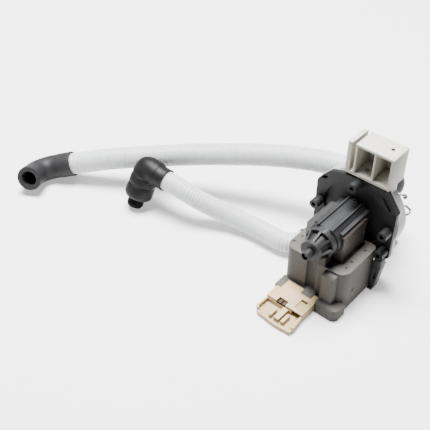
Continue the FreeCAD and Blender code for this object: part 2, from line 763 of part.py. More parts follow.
impeller = new_body("impeller", on_axis=True)
impeller_back = f"{plate_back} + chamber_depth - seat_gap * 2"
turned(impeller, "Hub", [
    f"{dog_front}, dog_reach + dog_gap", f"{dog_front}, impeller_hub", f"{impeller_back}, impeller_hub",
    f"{impeller_back}, shaft_radius + running_gap",
    f"{impeller_back} - impeller_floor, shaft_radius + running_gap",
    f"{impeller_back} - impeller_floor, dog_reach + dog_gap"])
pad(impeller, "Stop", "XZ_Plane", f"{dog_front}, {impeller_back} - impeller_floor + 0.2", [
    sector("(dog_radius + dog_gap) / cos(dog_angle / 2)", "impeller_hub - 1", "-")])
disc_front = f"{dog_front} + 0.5"
pad(impeller, "Disc", "XZ_Plane", f"{disc_front}, {disc_front} + impeller_disc", [
    ("0, 0", "impeller_radius * 0.7"), ("0, 0", "impeller_hub - 0.5")])
pad(impeller, "Vane", "XZ_Plane", f"{disc_front} + 0.2, {disc_front} + impeller_disc + vane_height", [[
    "-vane_thickness / 2, impeller_hub - 0.6", "vane_thickness / 2, impeller_hub - 0.6",
    "vane_thickness / 2, impeller_radius", "-vane_thickness / 2, impeller_radius"]])
vanes = impeller.newObject("PartDesign::PolarPattern", "Vanes")
vanes.Originals = [impeller.Tip]
vanes.Axis = (next(item for item in impeller.Origin.OriginFeatures if item.Role == "Y_Axis"), [""])
vanes.Angle = 360
bind(vanes, "Occurrences", "vane_count")
impeller.Tip = vanes
doc.recompute()
cap = new_body("impeller_cap", on_axis=True)
turned(cap, "Cap", [
    f"{cap_front}, shaft_radius", f"{cap_front}, cap_radius", f"{cap_front} + cap_length, cap_radius",
    f"{cap_front} + cap_length + 1, cap_radius - 1", f"{cap_front} + cap_length + 1, 0",
    f"{cap_front} + cap_length - seat_gap, 0", f"{cap_front} + cap_length - seat_gap, shaft_radius"])

# Pump housing
# A flange like the plate carries the chamber, an outer skirt and four screw pillars. The inlet stub
# stands on the axis behind, the outlet leaves the chamber's left side downward, and a saddle on top
# takes the bracket.

chamber_back = f"{plate_back} + chamber_depth"
housing_back = f"{chamber_back} + rear_wall"
housing = new_body("pump_housing", on_axis=True)
pad(housing, "Flange", "XZ_Plane", f"{plate_back}, {plate_back} + housing_flange", [
    plate_outline, ("0, 0", "chamber_radius")])
rounded(housing, "FlangeCorner", Y_AXIS, ["-plate_half, 0, shoulder_left", "-crown_left, 0, crown_left_top"],
        "corner_radius")
turned(housing, "Bowl", [
    f"{plate_back}, chamber_radius", f"{plate_back}, chamber_radius + chamber_wall",
    f"{housing_back}, chamber_radius + chamber_wall", f"{housing_back}, inlet_radius + 2",
    f"{housing_back} + 2, inlet_radius", f"{housing_back} + inlet_length - 3, inlet_radius",
    f"{housing_back} + inlet_length - 2, inlet_radius + inlet_bead",
    f"{housing_back} + inlet_length, inlet_radius - 0.6", f"{housing_back} + inlet_length, inlet_bore",
    f"{chamber_back}, inlet_bore", f"{chamber_back}, chamber_radius"])
turned(housing, "Skirt", [
    f"{plate_back} + 1, drum_radius - drum_wall", f"{plate_back} + 1, drum_radius",
    f"{housing_back}, drum_radius",
    f"{housing_back}, drum_radius - drum_wall"])
pad(housing, "Pillars", "XZ_Plane", f"{plate_back} + 0.5, {plate_back} + pillar_length + 1", [
    (place, "pillar_radius") for place in screw_places])
pad(housing, "Saddle", "XZ_Plane", f"{plate_back} + 0.2, {plate_back} + saddle_depth", [[
    "-saddle_left, saddle_base", "saddle_right, saddle_base - 4", "saddle_right, bracket_rise",
    "-saddle_left, bracket_rise"]])
pad(housing, "BracketSeat", "XY_Plane", "bracket_rise, bracket_rise + drum_radius", [[
    f"-drum_radius, {plate_back} - 1", f"drum_radius, {plate_back} - 1", f"drum_radius, {housing_back} + 1",
    f"-drum_radius, {housing_back} + 1"]], cut=True)
for side in ("left", "right"):
    pad(housing, f"Peg_{side}", "XY_Plane", "bracket_rise - 0.5, bracket_rise + peg_height", [
        (f"peg_{side}, {plate_back} + saddle_depth / 2", "peg_radius")])
pad(housing, "OutletTube", "XY_Plane", "outlet_end - axis_height, outlet_radius / 2", [
    ("-outlet_side, outlet_place", "outlet_radius")])
turned(housing, "Chamber", [
    f"{plate_back} - 1, 0", f"{plate_back} - 1, chamber_radius", f"{chamber_back}, chamber_radius",
    f"{chamber_back}, 0"], cut=True)
pad(housing, "OutletBore", "XY_Plane", "outlet_end - axis_height - 1, 0", [
    ("-outlet_side, outlet_place", "outlet_bore")], cut=True)
pad(housing, "ScrewHoles", "XZ_Plane", f"{plate_back} - 1, {plate_back} + pillar_length + 1", [
    (place, "screw_radius + side_gap") for place in screw_places], cut=True)
pad(housing, "HeadSpace", "XZ_Plane", f"{plate_back} + pillar_length, {housing_back} + 1", [
    (place, "screw_head + side_gap") for place in screw_places], cut=True)
turned(housing, "SealGroove", [
    f"{plate_back} - 1, seal_radius", f"{plate_back} - 1, seal_radius + seal_width",
    f"{plate_back} + seal_depth, seal_radius + seal_width", f"{plate_back} + seal_depth, seal_radius"],
    cut=True)
seal = new_body("plate_seal", on_axis=True)
turned(seal, "Ring", [
    f"{plate_back}, seal_radius + running_gap", f"{plate_back}, seal_radius + seal_width - running_gap",
    f"{plate_back} + seal_depth - running_gap, seal_radius + seal_width - running_gap",
    f"{plate_back} + seal_depth - running_gap, seal_radius + running_gap"])

# Housing screws
# Four like screws, driven from the rear through the pillars into the plate's bosses.

screws = []
for number, place in enumerate(screw_places, start=1):
    x, z = pair(place)
    spot = f"{x}, axis_height + {z}"
    head = rod(f"ScrewHead{number}", spot,
        f"{plate_back} + pillar_length, {plate_back} + pillar_length + screw_head_height",
               "screw_head")
    shank = rod(f"ScrewShank{number}", spot,
                f"{plate_back} + pillar_length - screw_length, {plate_back} + pillar_length", "screw_radius")
    screws.append(fuse(f"Screw{number}", [head, shank]))
group = doc.addObject("Part::Compound", "housing_screws")
group.Links = screws

# Mounting bracket
# A box open to the front, split by a divider, with a screw hole in its top and a fin beside it on the
# same floor. Two pegs of the saddle hold it.

bracket = new_body("mounting_bracket")
bracket_bottom = "axis_height + bracket_rise"
bracket_top = f"{bracket_bottom} + bracket_height"
bracket_back = "bracket_front + bracket_depth"
pad(bracket, "Shell", "XY_Plane", f"{bracket_bottom}, {bracket_top}", [[
    "-bracket_left, bracket_front", "bracket_right, bracket_front", f"bracket_right, {bracket_back}",
    f"-bracket_left, {bracket_back}"]])
pad(bracket, "LeftRoom", "XY_Plane", f"{bracket_bottom} + bracket_floor, {bracket_top} - bracket_wall", [[
    "-bracket_left + bracket_wall, bracket_front - 1", "divider_left, bracket_front - 1",
    f"divider_left, {bracket_back} - bracket_wall",
    f"-bracket_left + bracket_wall, {bracket_back} - bracket_wall"]],
    cut=True)
pad(bracket, "RightRoom", "XY_Plane", f"{bracket_bottom} + bracket_floor, {bracket_top} - bracket_wall", [[
    "divider_left + divider_width, bracket_front - 1", "bracket_right - bracket_wall, bracket_front - 1",
    f"bracket_right - bracket_wall, {bracket_back} - bracket_wall",
    f"divider_left + divider_width, {bracket_back} - bracket_wall"]], cut=True)
pad(bracket, "Fin", "XY_Plane", f"{bracket_bottom}, {bracket_top}", [[
    "-fin_left, bracket_front", "-fin_left + fin_width, bracket_front",
    f"-fin_left + fin_width, {bracket_back}",
    f"-fin_left, {bracket_back}"]])
pad(bracket, "FinFloor", "XY_Plane", f"{bracket_bottom}, {bracket_bottom} + bracket_floor", [[
    "-fin_left + 1, bracket_front", "-bracket_left + 1, bracket_front", f"-bracket_left + 1, {bracket_back}",
    f"-fin_left + 1, {bracket_back}"]])
pad(bracket, "RearChamfer", "YZ_Plane", "-fin_left - 1, bracket_right + 1", [[
    f"{bracket_back} - bracket_chamfer * 0.6, {bracket_bottom} - 1",
    f"{bracket_back} + 1, {bracket_bottom} - 1",
    f"{bracket_back} + 1, {bracket_bottom} + bracket_chamfer",
    f"{bracket_back}, {bracket_bottom} + bracket_chamfer"]],
    cut=True)
pad(bracket, "TopHole", "XY_Plane", f"{bracket_top} - bracket_wall - 1, {bracket_top} + 1", [
    ("bracket_hole_x, bracket_hole_y", "bracket_hole")], cut=True)
pad(bracket, "PegHoles", "XY_Plane", f"{bracket_bottom} - 1, {bracket_bottom} + bracket_floor + 1", [
    (f"peg_{side}, {plate_back} + saddle_depth / 2", "peg_radius + running_gap")
    for side in ("left", "right")],
    cut=True)

# Coil clip
# It hangs from the plate below the low boss and hooks the side of the coil block.

clip = new_body("coil_clip")
clip_back = "plate_front"
clip_top = "axis_height - clip_top_drop"
clip_shoulder = "axis_height - clip_shoulder_drop"
pad(clip, "Leaf", "XZ_Plane", f"clip_front, {clip_back}", [[
    "clip_left, clip_bottom", "clip_left + clip_bottom_width, clip_bottom",
    f"clip_left + clip_top_width, {clip_shoulder}", f"clip_left + clip_top_width - 1.6, {clip_top}",
    f"clip_left + 1.2, {clip_top}", f"clip_left, {clip_shoulder}"]])
pad(clip, "Slot", "XZ_Plane", "clip_front - 1, clip_front + clip_slot_depth", [[
    "clip_slot_left, clip_slot_bottom", "clip_slot_left + clip_slot_width, clip_slot_bottom",
    "clip_slot_left + clip_slot_width, clip_slot_bottom + clip_slot_height",
    "clip_slot_left, clip_slot_bottom + clip_slot_height"]], cut=True)
pad(clip, "Hook", "XZ_Plane", f"clip_front - clip_hook, {clip_back}", [[
    "clip_left, clip_bottom", "clip_left + clip_bottom_width, clip_bottom",
    "clip_left + clip_bottom_width, clip_bottom + clip_hook * 2", "clip_left, clip_bottom + clip_hook"]])

# Connector
# A moulded socket in front of the block. A tray with three bars reaches forward under a low curved rim;
# behind it stand a notch with the two terminals and a roofed pocket with a sunk panel. The block's tongue
# lies in a seat at the rear.

connector = new_body("connector_housing")
pad(connector, "Base", "XY_Plane", "0, connector_height", [[
    "-connector_left, connector_front", "connector_right, connector_front", "connector_right, connector_back",
    "-connector_back_left, connector_back", "-connector_back_left, connector_shoulder",
    "-connector_left, connector_shoulder"]])
tray_curve = "(-tray_left - tray_right) / 4 - tray_left / 2"
pad(connector, "Tray", "XY_Plane", "0, tray_rim", [[
    "-tray_left, tray_side", f"{tray_curve}, (tray_side + tray_middle * 2) / 3", "-4.5, tray_middle",
    "tray_right - 1, tray_corner", "tray_right, tray_corner + 5", "connector_right, connector_front + 1",
    "-connector_left, connector_front + 1"]])
pad(connector, "TrayFloor", "XY_Plane", "connector_floor, tray_rim + 1", [[
    "-tray_left + connector_wall, tray_side + connector_wall * 0.6",
    f"{tray_curve} + 0.3, (tray_side + tray_middle * 2) / 3 + connector_wall",
    "-4.5, tray_middle + connector_wall",
    "tray_right - 1 - connector_wall, tray_corner + connector_wall",
    "tray_right - connector_wall, tray_corner + 5",
    "connector_right - connector_wall, connector_front - 0.5",
    "-connector_left + connector_wall, connector_front - 0.5"]],
    cut=True)
pad(connector, "FrontRim", "XY_Plane", "tray_front_rim, tray_rim + 1", [[
    "-tray_left + connector_wall, tray_rim_back", "tray_right + 1, tray_rim_back",
    "tray_right + 1, tray_middle - 1",
    "-tray_left + connector_wall, tray_middle - 1"]], cut=True)
for name, across, back in (("Left", "-12.3, -10.3", "-30"), ("Middle", "-8, -3.6", "connector_front + 0.5"),
                           ("Right", "-1.8, 0.7", "-29")):
    near, far = pair(across)
    pad(connector, "Bar" + name, "XY_Plane", "connector_floor - 0.5, tray_rim", [[
        f"{near}, tray_rim_back", f"{far}, tray_rim_back", f"{far}, {back}", f"{near}, {back}"]])
pad(connector, "Notch", "XY_Plane", "connector_floor, connector_height + 1", [[
    "-notch_left, connector_front - 0.4", "-notch_left + notch_width, connector_front - 0.4",
    "-notch_left + notch_width, connector_front + notch_depth",
    "-notch_left, connector_front + notch_depth"]], cut=True)
pad(connector, "Pocket", "XY_Plane", "connector_floor, connector_floor + pocket_height", [[
    "-pocket_left, connector_front - 1", "-pocket_left + pocket_width, connector_front - 1",
    "-pocket_left + pocket_width, connector_front + pocket_depth",
    "-pocket_left, connector_front + pocket_depth"]],
    cut=True)
pad(connector, "Panel", "XY_Plane", "connector_height - panel_drop, connector_height + 1", [[
    "-pocket_left, panel_front", "-pocket_left + pocket_width, panel_front",
    "-pocket_left + pocket_width, panel_back", "-pocket_left, panel_back"]], cut=True)
pad(connector, "KeySlot", "XY_Plane", "connector_floor + 1, connector_height + 1", [[
    "-pocket_left, panel_back - key_slot_depth", "-pocket_left + key_slot_width, panel_back - key_slot_depth",
    "-pocket_left + key_slot_width, panel_back", "-pocket_left, panel_back"]], cut=True)
pad(connector, "TongueSeat", "XY_Plane", f"{tongue_bottom} - seat_gap, connector_height + 1", [[
    "-tongue_left - seat_gap, -tongue_front - seat_gap", "tongue_right + seat_gap, -tongue_front - seat_gap",
    "tongue_right + seat_gap, connector_back + 1", "-tongue_left - seat_gap, connector_back + 1"]], cut=True)
terminal_low = "connector_floor + 0.6"
terminal_middle = "(notch_width / 2 - notch_left)"
terminal_front = "connector_front + 0.5"
for side, sign in (("left", "-"), ("right", "+")):
    middle = f"{terminal_middle} {sign} terminal_spread / 2"
    pad(connector, f"TerminalHole_{side}", "XY_Plane",
        f"{terminal_low} - running_gap, {terminal_low} + terminal_height + running_gap", [[
        f"{middle} - terminal_width / 2 - running_gap, {terminal_front}",
        f"{middle} + terminal_width / 2 + running_gap, {terminal_front}",
        f"{middle} + terminal_width / 2 + running_gap, {terminal_front} + terminal_length",
        f"{middle} - terminal_width / 2 - running_gap, {terminal_front} + terminal_length"]], cut=True)
    box(f"terminal_{side}", f"{middle} - terminal_width / 2, {middle} + terminal_width / 2",
        f"{terminal_front}, {terminal_front} + terminal_length",
        f"{terminal_low}, {terminal_low} + terminal_height")

# Routes, tubes and wires

def toward(start, end):
    return (end - start).normalize()


def route(corners, radius=None):
    """Straight runs joined by tangent arcs, of one radius or as large as the two runs allow."""
    edges = []
    radii = []
    at = corners[0]
    for before, corner, after in zip(corners, corners[1:], corners[2:]):
        come = toward(before, corner)
        go = toward(corner, after)
        half = come.getAngle(go) / 2
        reach = 0.45 * min((corner - before).Length, (after - corner).Length)
        if radius:
            reach = radius * math.tan(half)
        bend = reach / math.tan(half)
        middle = corner + toward(come, go) * (bend / math.cos(half) - bend)
        start = corner - come * reach
        end = corner + go * reach
        edges += [Part.LineSegment(at, start).toShape(), Part.Arc(start, middle, end).toShape()]
        radii.append(round(bend, 1))
        at = end
    edges.append(Part.LineSegment(at, corners[-1]).toShape())
    print("radii", radii)
    return edges


def ring(place, direction, radius):
    """A circle square to a direction, its first point always turned the same way."""
    circle = Part.Wire(Part.makeCircle(radius))
    side = Z_AXIS.cross(direction)
    turn = FreeCAD.Rotation(side if side.Length > 0.1 else X_AXIS, vector(0, 0, 0), direction, "ZXY")
    circle.Placement = FreeCAD.Placement(place, turn)
    return circle


def ends(edges):
    """First and last point of a route, with its direction at each."""
    first = edges[0]
    last = edges[-1]
    return (first.Vertexes[0].Point, first.tangentAt(first.FirstParameter),
            last.Vertexes[-1].Point, last.tangentAt(last.LastParameter))


def tube(edges, radius, spare=0):
    """A solid rod along a route, its two ends longer by a spare length."""
    start, come, end, go = ends(edges)
    if spare:
        edges = [Part.LineSegment(start - come * spare, start).toShape(), *edges,
                 Part.LineSegment(end, end + go * spare).toShape()]
    solid = Part.Wire(edges).makePipeShell([ring(start - come * spare, come, radius)], True, False)
    length = sum(edge.Length for edge in edges)
    print("volume by section and length", round(solid.Volume / (math.pi * radius ** 2 * length), 4))
    return solid


def cylinder(start, end, radius):
    return Part.makeCylinder(radius, (end - start).Length, start, end - start)


def ribbed_hose(label, corners, radius, bore, depth, count):
    """A thin hose whose ribs stand at an even pitch along the whole route."""
    edges = route(corners)
    length = sum(edge.Length for edge in edges)
    pitch = length / count
    low = radius - depth
    profile = [(0, low), (0.2, low), (0.4, radius), (0.8, radius)]
    marks = [((rib + share) * pitch, size) for rib in range(count) for share, size in profile]
    marks.append((length, low))
    rings = []
    done = 0
    rest = list(edges)
    for distance, size in marks:
        while len(rest) > 1 and distance - done > rest[0].Length:
            done += rest.pop(0).Length
        edge = rest[0]
        place = edge.getParameterByLength(min(distance - done, edge.Length))
        rings.append(ring(edge.valueAt(place), edge.tangentAt(place), size))
    solid = Part.makeLoft(rings, True, True)
    feature(label, solid.cut(tube(edges, bore, 1)))
    print(label, "length", round(length, 1), "pitch", round(pitch, 2))


def rubber_elbow(label, corner, throat, legs):
    """Two legs from a round corner: each has its end, radius, and the depth and radius of its socket."""
    body = Part.makeSphere(max(radius for _, radius, _, _ in legs), corner)
    hollow = Part.makeSphere(throat, corner)
    for end, radius, depth, socket in legs:
        way = toward(corner, end)
        body = body.fuse(cylinder(corner, end, radius))
        hollow = hollow.multiFuse([cylinder(corner, end, throat),
                                   cylinder(corner + way * (depth - value("seat_gap")), end + way, socket)])
    feature(label, body.cut(hollow))


def strand(points, radius):
    """Round wire through the points, with a ball at each."""
    pieces = [Part.makeSphere(radius, point) for point in points]
    pieces += [cylinder(start, end, radius) for start, end in zip(points, points[1:])]
    return pieces[0].multiFuse(pieces[1:])


# Large hose
# It leaves the inlet stub through a rubber elbow with a wire clamp, bows down to the left and ends on
# the ground in a second elbow whose open mouth looks forward and up.

inlet_corner = vector(0, value("inlet_corner"), value("axis_height"))
inlet_line = [
    inlet_corner, vector(-45, 86.2, 55.2), vector(-77.3, 75.5, 51.8), vector(-109, 61.6, 46.5),
    vector(-138.4, 46.1, 41), vector(-166.3, 30.6, 35), vector(-195.1, 12.9, 28.8), 
    vector(-225.2, -8.2, 22.6),
    vector(-268.9, -38.2, 8)]
inset = value("hose_inset")
inlet_start = inlet_corner + toward(*inlet_line[:2]) * inset
inlet_end = inlet_line[-1] - toward(*inlet_line[-2:]) * value("end_inset")
ribbed_hose("inlet_hose", [inlet_start, *inlet_line[1:-1], inlet_end], value("inlet_hose_radius"),
            value("inlet_hose_bore"), value("inlet_rib_depth"), SIZES["inlet_rib_count"])

stub_end = value(f"{housing_back} + inlet_length")
rubber_elbow("inlet_elbow", inlet_corner, value("inlet_bore"), [
    (vector(0, value("inlet_elbow_front"), inlet_corner.z), value("inlet_elbow_radius"),
     inlet_corner.y - stub_end, value("inlet_radius + inlet_bead + running_gap")),
    (inlet_corner + toward(*inlet_line[:2]) * value("inlet_cuff_end"), value("inlet_elbow_radius"),
     inset, value("inlet_hose_radius + seat_gap"))])

clamp_radius = value("inlet_elbow_radius + clamp_wire")
wire = value("clamp_wire")


def clamp_point(degrees, reach, along=0):
    angle = math.radians(degrees)
    return vector(reach * math.cos(angle), value("clamp_place") + along,
                  value("axis_height") + reach * math.sin(angle))


clamp = Part.makeTorus(clamp_radius, wire, clamp_point(0, 0), Y_AXIS)
upper = clamp_radius + value("clamp_tang") * 0.62
lower = clamp_radius + value("clamp_tang")
triangle = strand([clamp_point(14, clamp_radius), clamp_point(16, upper), clamp_point(6, upper - 1),
                   clamp_point(12, clamp_radius + 3)], wire)
loop = strand([clamp_point(-13, clamp_radius), clamp_point(-16, lower - 3.6)], wire)
eye = Part.makeTorus(2.4, wire, clamp_point(-16, lower - 1.8), Y_AXIS)
feature("inlet_clamp", clamp.multiFuse([triangle, loop, eye]))

end_come = toward(*inlet_line[-2:])
end_corner = inlet_line[-1]
mouth_way = vector(0.461, -0.829, 0.317).normalize()
cuff_start = end_corner - end_come * value("end_cuff_length")
end_path = route([cuff_start, end_corner, end_corner + mouth_way * value("end_mouth_length")],
                 value("end_elbow_bend"))
end_body = tube(end_path, value("end_elbow_radius")).fuse(
    cylinder(cuff_start, cuff_start + end_come * value("end_cuff_rim"), value("end_elbow_cuff")))
end_hose = cylinder(cuff_start - end_come, inlet_end, value("inlet_hose_radius + seat_gap"))
feature("inlet_end_elbow", end_body.cut(tube(end_path, value("end_elbow_bore"), 1)).cut(end_hose))

# Small hose
# It leaves the downward outlet through a rubber elbow behind the block, lies along the ground, climbs
# into a bellows boot and ends in a black spigot that stands on the ground.

outlet_corner = vector(-value("outlet_side"), value("outlet_place"),
                       value("outlet_cuff_radius + seat_gap * 2"))
boot_corner = vector(-173.6, 1.7, 33)
outlet_line = [
    outlet_corner, vector(-37.3, 38.9, 9.4), vector(-46.2, 27.3, 9.4), vector(-61, 26.4, 8.9),
    vector(-81.5, 25.6, 9),
    vector(-103.9, 18.9, 13.5), vector(-123, 8.4, 23), vector(-136.5, 4, 29.5), boot_corner]
outlet_way = toward(*outlet_line[:2])
boot_way = toward(*outlet_line[-2:])
outlet_start = outlet_corner + outlet_way * inset
outlet_end = boot_corner - boot_way * value("boot_inset")
ribbed_hose("outlet_hose", [outlet_start, *outlet_line[1:-1], outlet_end], value("outlet_hose_radius"),
            value("outlet_hose_bore"), value("outlet_rib_depth"), SIZES["outlet_rib_count"])

rubber_elbow("outlet_elbow", outlet_corner, value("outlet_bore"), [
    (vector(outlet_corner.x, outlet_corner.y, value("outlet_elbow_top")), value("outlet_elbow_radius"),
     value("outlet_end") - outlet_corner.z, value("outlet_radius + seat_gap")),
    (outlet_corner + outlet_way * value("outlet_cuff_end"), value("outlet_cuff_radius"),
     inset, value("outlet_hose_radius + seat_gap"))])

stack_foot = vector(-175.4, -15.2, 2.6)
stack_way = toward(stack_foot, boot_corner)
stack_height = (boot_corner - stack_foot).Length


def stack_point(height):
    return stack_foot + stack_way * height


mouth = value("boot_mouth")
groove = value("boot_groove")
lip = value("boot_lip")
outline = [(mouth, 0), (mouth, lip), (mouth + 1, lip + 0.3)]
for start, end, bulge in ((9.6, 20.4, 12), (20.4, 28.6, 11.8), (28.6, 33.8, 11.3)):
    outline += [(start, groove - 0.3), (start + 1.4, bulge - 0.2), (start + 2.6, bulge), (end - 2, bulge),
                (end, groove)]
outline += [(stack_height, value("boot_radius")), (stack_height, 0)]
corners = [vector(radius, 0, height) for height, radius in outline]
stack = Part.Face(Part.makePolygon([*corners, corners[0]])).revolve(vector(0, 0, 0), Z_AXIS, 360)
stack.Placement = FreeCAD.Placement(stack_foot, FreeCAD.Rotation(Z_AXIS, stack_way))
boot_cuff_start = outlet_end - boot_way * value("boot_cuff_length")
boot = stack.multiFuse([Part.makeSphere(value("boot_radius"), boot_corner),
                        cylinder(boot_cuff_start, boot_corner, value("boot_cuff_radius"))])
spigot_top = stack_point(value("spigot_length"))
throat = value("boot_bore")
hollow = Part.makeSphere(throat, boot_corner).multiFuse([
    cylinder(stack_point(mouth - 1), boot_corner, throat),
    cylinder(boot_corner, outlet_end, throat),
    cylinder(stack_point(mouth - 1), spigot_top + stack_way * 0.1, value("spigot_radius + seat_gap")),
    cylinder(boot_cuff_start - boot_way, outlet_end + boot_way * 0.1,
             value("outlet_hose_radius + seat_gap"))])
feature("outlet_boot", boot.cut(hollow))
chamfer = value("spigot_chamfer")
spigot_nose = Part.makeCone(value("spigot_radius") - chamfer / 2, value("spigot_radius"), chamfer,
                            stack_foot, stack_way)
spigot = spigot_nose.fuse(cylinder(stack_point(chamfer), spigot_top, value("spigot_radius")))
feature("outlet_spigot", spigot.cut(cylinder(stack_point(-1), spigot_top + stack_way, value("spigot_bore"))))

# Sub-parts

NODES = [
    "coil_block", "stator_core", "bobbin_left", "bobbin_right", "coil_left", "coil_right",
    "connector_housing", "terminal_left", "terminal_right", "rotor_canister", "front_bearing_cup",
    "front_bearing", "rear_bearing", "rear_bearing_cup", "bearing_cover", "cover_o_ring", "shaft",
    "thrust_washer", "rotor_hub", "rotor_magnet", "drive_dog", "impeller", "impeller_cap",
    "pump_housing", "plate_seal", "housing_screws", "mounting_bracket", "coil_clip", "inlet_elbow",
    "inlet_clamp", "inlet_hose", "inlet_end_elbow", "outlet_elbow", "outlet_hose", "outlet_boot",
    "outlet_spigot"]

doc.recompute()
failed = [f"{item.Name}: {item.State}" for item in doc.Objects if {"Invalid", "Error"} & set(item.State)]
if failed:
    raise RuntimeError("failed objects: " + ", ".join(failed))
os.makedirs("parts", exist_ok=True)
for node in NODES:
    piece = doc.getObjectsByLabel(node)[0]
    if piece.Shape.isNull() or not piece.Shape.isValid():
        raise RuntimeError(f"bad shape: {node}")
    piece.Shape.exportStep(f"parts/{node}.step")
    print(node, "solids", len(piece.Shape.Solids), "volume", round(piece.Shape.Volume, 1))
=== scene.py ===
import math

import bmesh
import bpy
from mathutils import Matrix, Vector


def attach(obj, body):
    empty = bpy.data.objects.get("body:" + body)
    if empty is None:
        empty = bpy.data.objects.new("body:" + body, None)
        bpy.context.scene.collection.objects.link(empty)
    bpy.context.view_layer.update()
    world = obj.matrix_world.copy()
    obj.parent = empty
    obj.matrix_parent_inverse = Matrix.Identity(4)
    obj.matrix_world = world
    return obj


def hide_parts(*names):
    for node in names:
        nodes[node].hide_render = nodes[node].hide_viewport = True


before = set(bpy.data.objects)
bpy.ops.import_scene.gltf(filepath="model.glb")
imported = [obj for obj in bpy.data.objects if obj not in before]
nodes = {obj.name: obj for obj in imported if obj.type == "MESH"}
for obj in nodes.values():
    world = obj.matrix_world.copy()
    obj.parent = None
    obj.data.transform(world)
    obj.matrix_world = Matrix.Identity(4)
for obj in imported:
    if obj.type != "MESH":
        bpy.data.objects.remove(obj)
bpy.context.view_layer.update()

# Camera
# It looks down on the pump from the front right with a short telephoto lens, as for a parts
# catalogue, so that both hoses lie out to the left.

camera_turn = math.radians(41.2)
camera_rise = math.radians(41.45)
camera_back = Vector((
    math.sin(camera_turn) * math.cos(camera_rise),
    -math.cos(camera_turn) * math.cos(camera_rise),
    math.sin(camera_rise),
))
camera = bpy.data.objects.new("camera", bpy.data.cameras.new("camera"))
camera.data.lens = 64.05
camera.location = (0.2018, -0.3415, 0.4281)
camera.rotation_mode = "QUATERNION"
camera.rotation_quaternion = (-camera_back).to_track_quat("-Z", "Y")
bpy.context.scene.collection.objects.link(camera)
bpy.context.scene.camera = camera

# Floor and light
# A pale lit table, a large soft box almost overhead and a weak one at the left, inside a dim white
# room, so that upper faces are the bright ones.

lit_middle = (-0.08, 0.02, 0.04)


def soft_box(name, place, width, power):
    """A square area light that faces the middle of the hoses and the pump."""
    light = bpy.data.objects.new(name, bpy.data.lights.new(name, "AREA"))
    light.data.shape = "SQUARE"
    light.data.size = width
    light.data.energy = power
    light.location = place
    light.rotation_mode = "QUATERNION"
    light.rotation_quaternion = (Vector(lit_middle) - Vector(place)).to_track_quat("-Z", "Y")
    bpy.context.scene.collection.objects.link(light)


soft_box("overhead_soft_box", (-0.3, 0.15, 1.5), 0.7, 165)
soft_box("left_soft_box", (-1.0, -0.9, 0.7), 0.6, 4)

room = bpy.data.worlds.new("white_room")
room.use_nodes = True
room.node_tree.nodes["Background"].inputs["Color"].default_value = (1.0, 1.0, 1.0, 1.0)
room.node_tree.nodes["Background"].inputs["Strength"].default_value = 0.08
bpy.context.scene.world = room

floor_half = 3.0
floor_mesh = bpy.data.meshes.new("floor")
floor_corners = [(x * floor_half, y * floor_half, 0.0) for x, y in ((-1, -1), (1, -1), (1, 1), (-1, 1))]
floor_mesh.from_pydata(floor_corners, [], [(0, 1, 2, 3)])
floor = bpy.data.objects.new("floor", floor_mesh)
bpy.context.scene.collection.objects.link(floor)
paper = bpy.data.materials.new("floor_paper")
paper.use_nodes = True
paper_shader = paper.node_tree.nodes["Principled BSDF"]
paper_shader.inputs["Base Color"].default_value = (0.66, 0.66, 0.66, 1.0)
paper_shader.inputs["Roughness"].default_value = 0.9
paper_shader.inputs["Emission Color"].default_value = (1.0, 1.0, 1.0, 1.0)
paper_shader.inputs["Emission Strength"].default_value = 0.5
floor_mesh.materials.append(paper)

# Large hose
# A thin walled hose of translucent white plastic, blown with fine rings along its whole length. It
# leaves the elbow behind the pump, bows down to the left and comes to rest on the ground.

inlet_route = [
    (-0.01089, 0.09097, 0.05619), (-0.045, 0.0862, 0.0552), (-0.0773, 0.0755, 0.0518),
    (-0.109, 0.0616, 0.0465), (-0.1384, 0.0461, 0.041), (-0.1663, 0.0306, 0.035),
    (-0.1951, 0.0129, 0.0288), (-0.2252, -0.0082, 0.0226), (-0.25499, -0.02865, 0.01265),
]
inlet_radius = 0.0094
inlet_ribs = 116
hose_wall = 0.0012
hose_sides = 36
rib_depth = 0.0005
rib_steps = 6
# Painted shade: the grooves between the rings are a darker grey than the crests.
groove_shade_grey = (0.42, 0.43, 0.44)
crest_white = (0.50, 0.51, 0.52)


def settled(holder):
    """The plain mesh that an object shows; the object itself is removed."""
    mesh = bpy.data.meshes.new_from_object(holder.evaluated_get(bpy.context.evaluated_depsgraph_get()))
    bpy.data.objects.remove(holder)
    return mesh


def centreline(name, route):
    """The points of a smooth spline whose control points are the route."""
    line = bpy.data.curves.new(name, "CURVE")
    line.dimensions = "3D"
    line.resolution_u = 24
    spline = line.splines.new("NURBS")
    spline.points.add(len(route) - 1)
    for point, place in zip(spline.points, route):
        point.co = (*place, 1.0)
    spline.order_u = 3
    spline.use_endpoint_u = True
    holder = bpy.data.objects.new(name, line)
    bpy.context.scene.collection.objects.link(holder)
    return settled(holder)


def inputs_of(tree, names):
    """Named inputs of a node tree, each with its kind of socket."""
    for name, kind in names.items():
        tree.interface.new_socket(name, in_out="INPUT", socket_type="NodeSocket" + kind)
    return tree.nodes.new("NodeGroupInput").outputs


def math_node(tree, operation, first, second=None):
    """A Math node on one or two values."""
    node = tree.nodes.new("ShaderNodeMath")
    node.operation = operation
    for socket, value in zip(node.inputs, (first, second)):
        if isinstance(value, bpy.types.NodeSocket):
            tree.links.new(value, socket)
        elif value is not None:
            socket.default_value = value
    return node.outputs[0]


def step(tree, kind, **links):
    """A node with its inputs linked or set by name; underscores stand for spaces."""
    node = tree.nodes.new(kind)
    for name, value in links.items():
        socket = node.inputs[name.replace("_", " ")]
        if isinstance(value, bpy.types.NodeSocket):
            tree.links.new(value, socket)
        else:
            socket.default_value = value
    return node


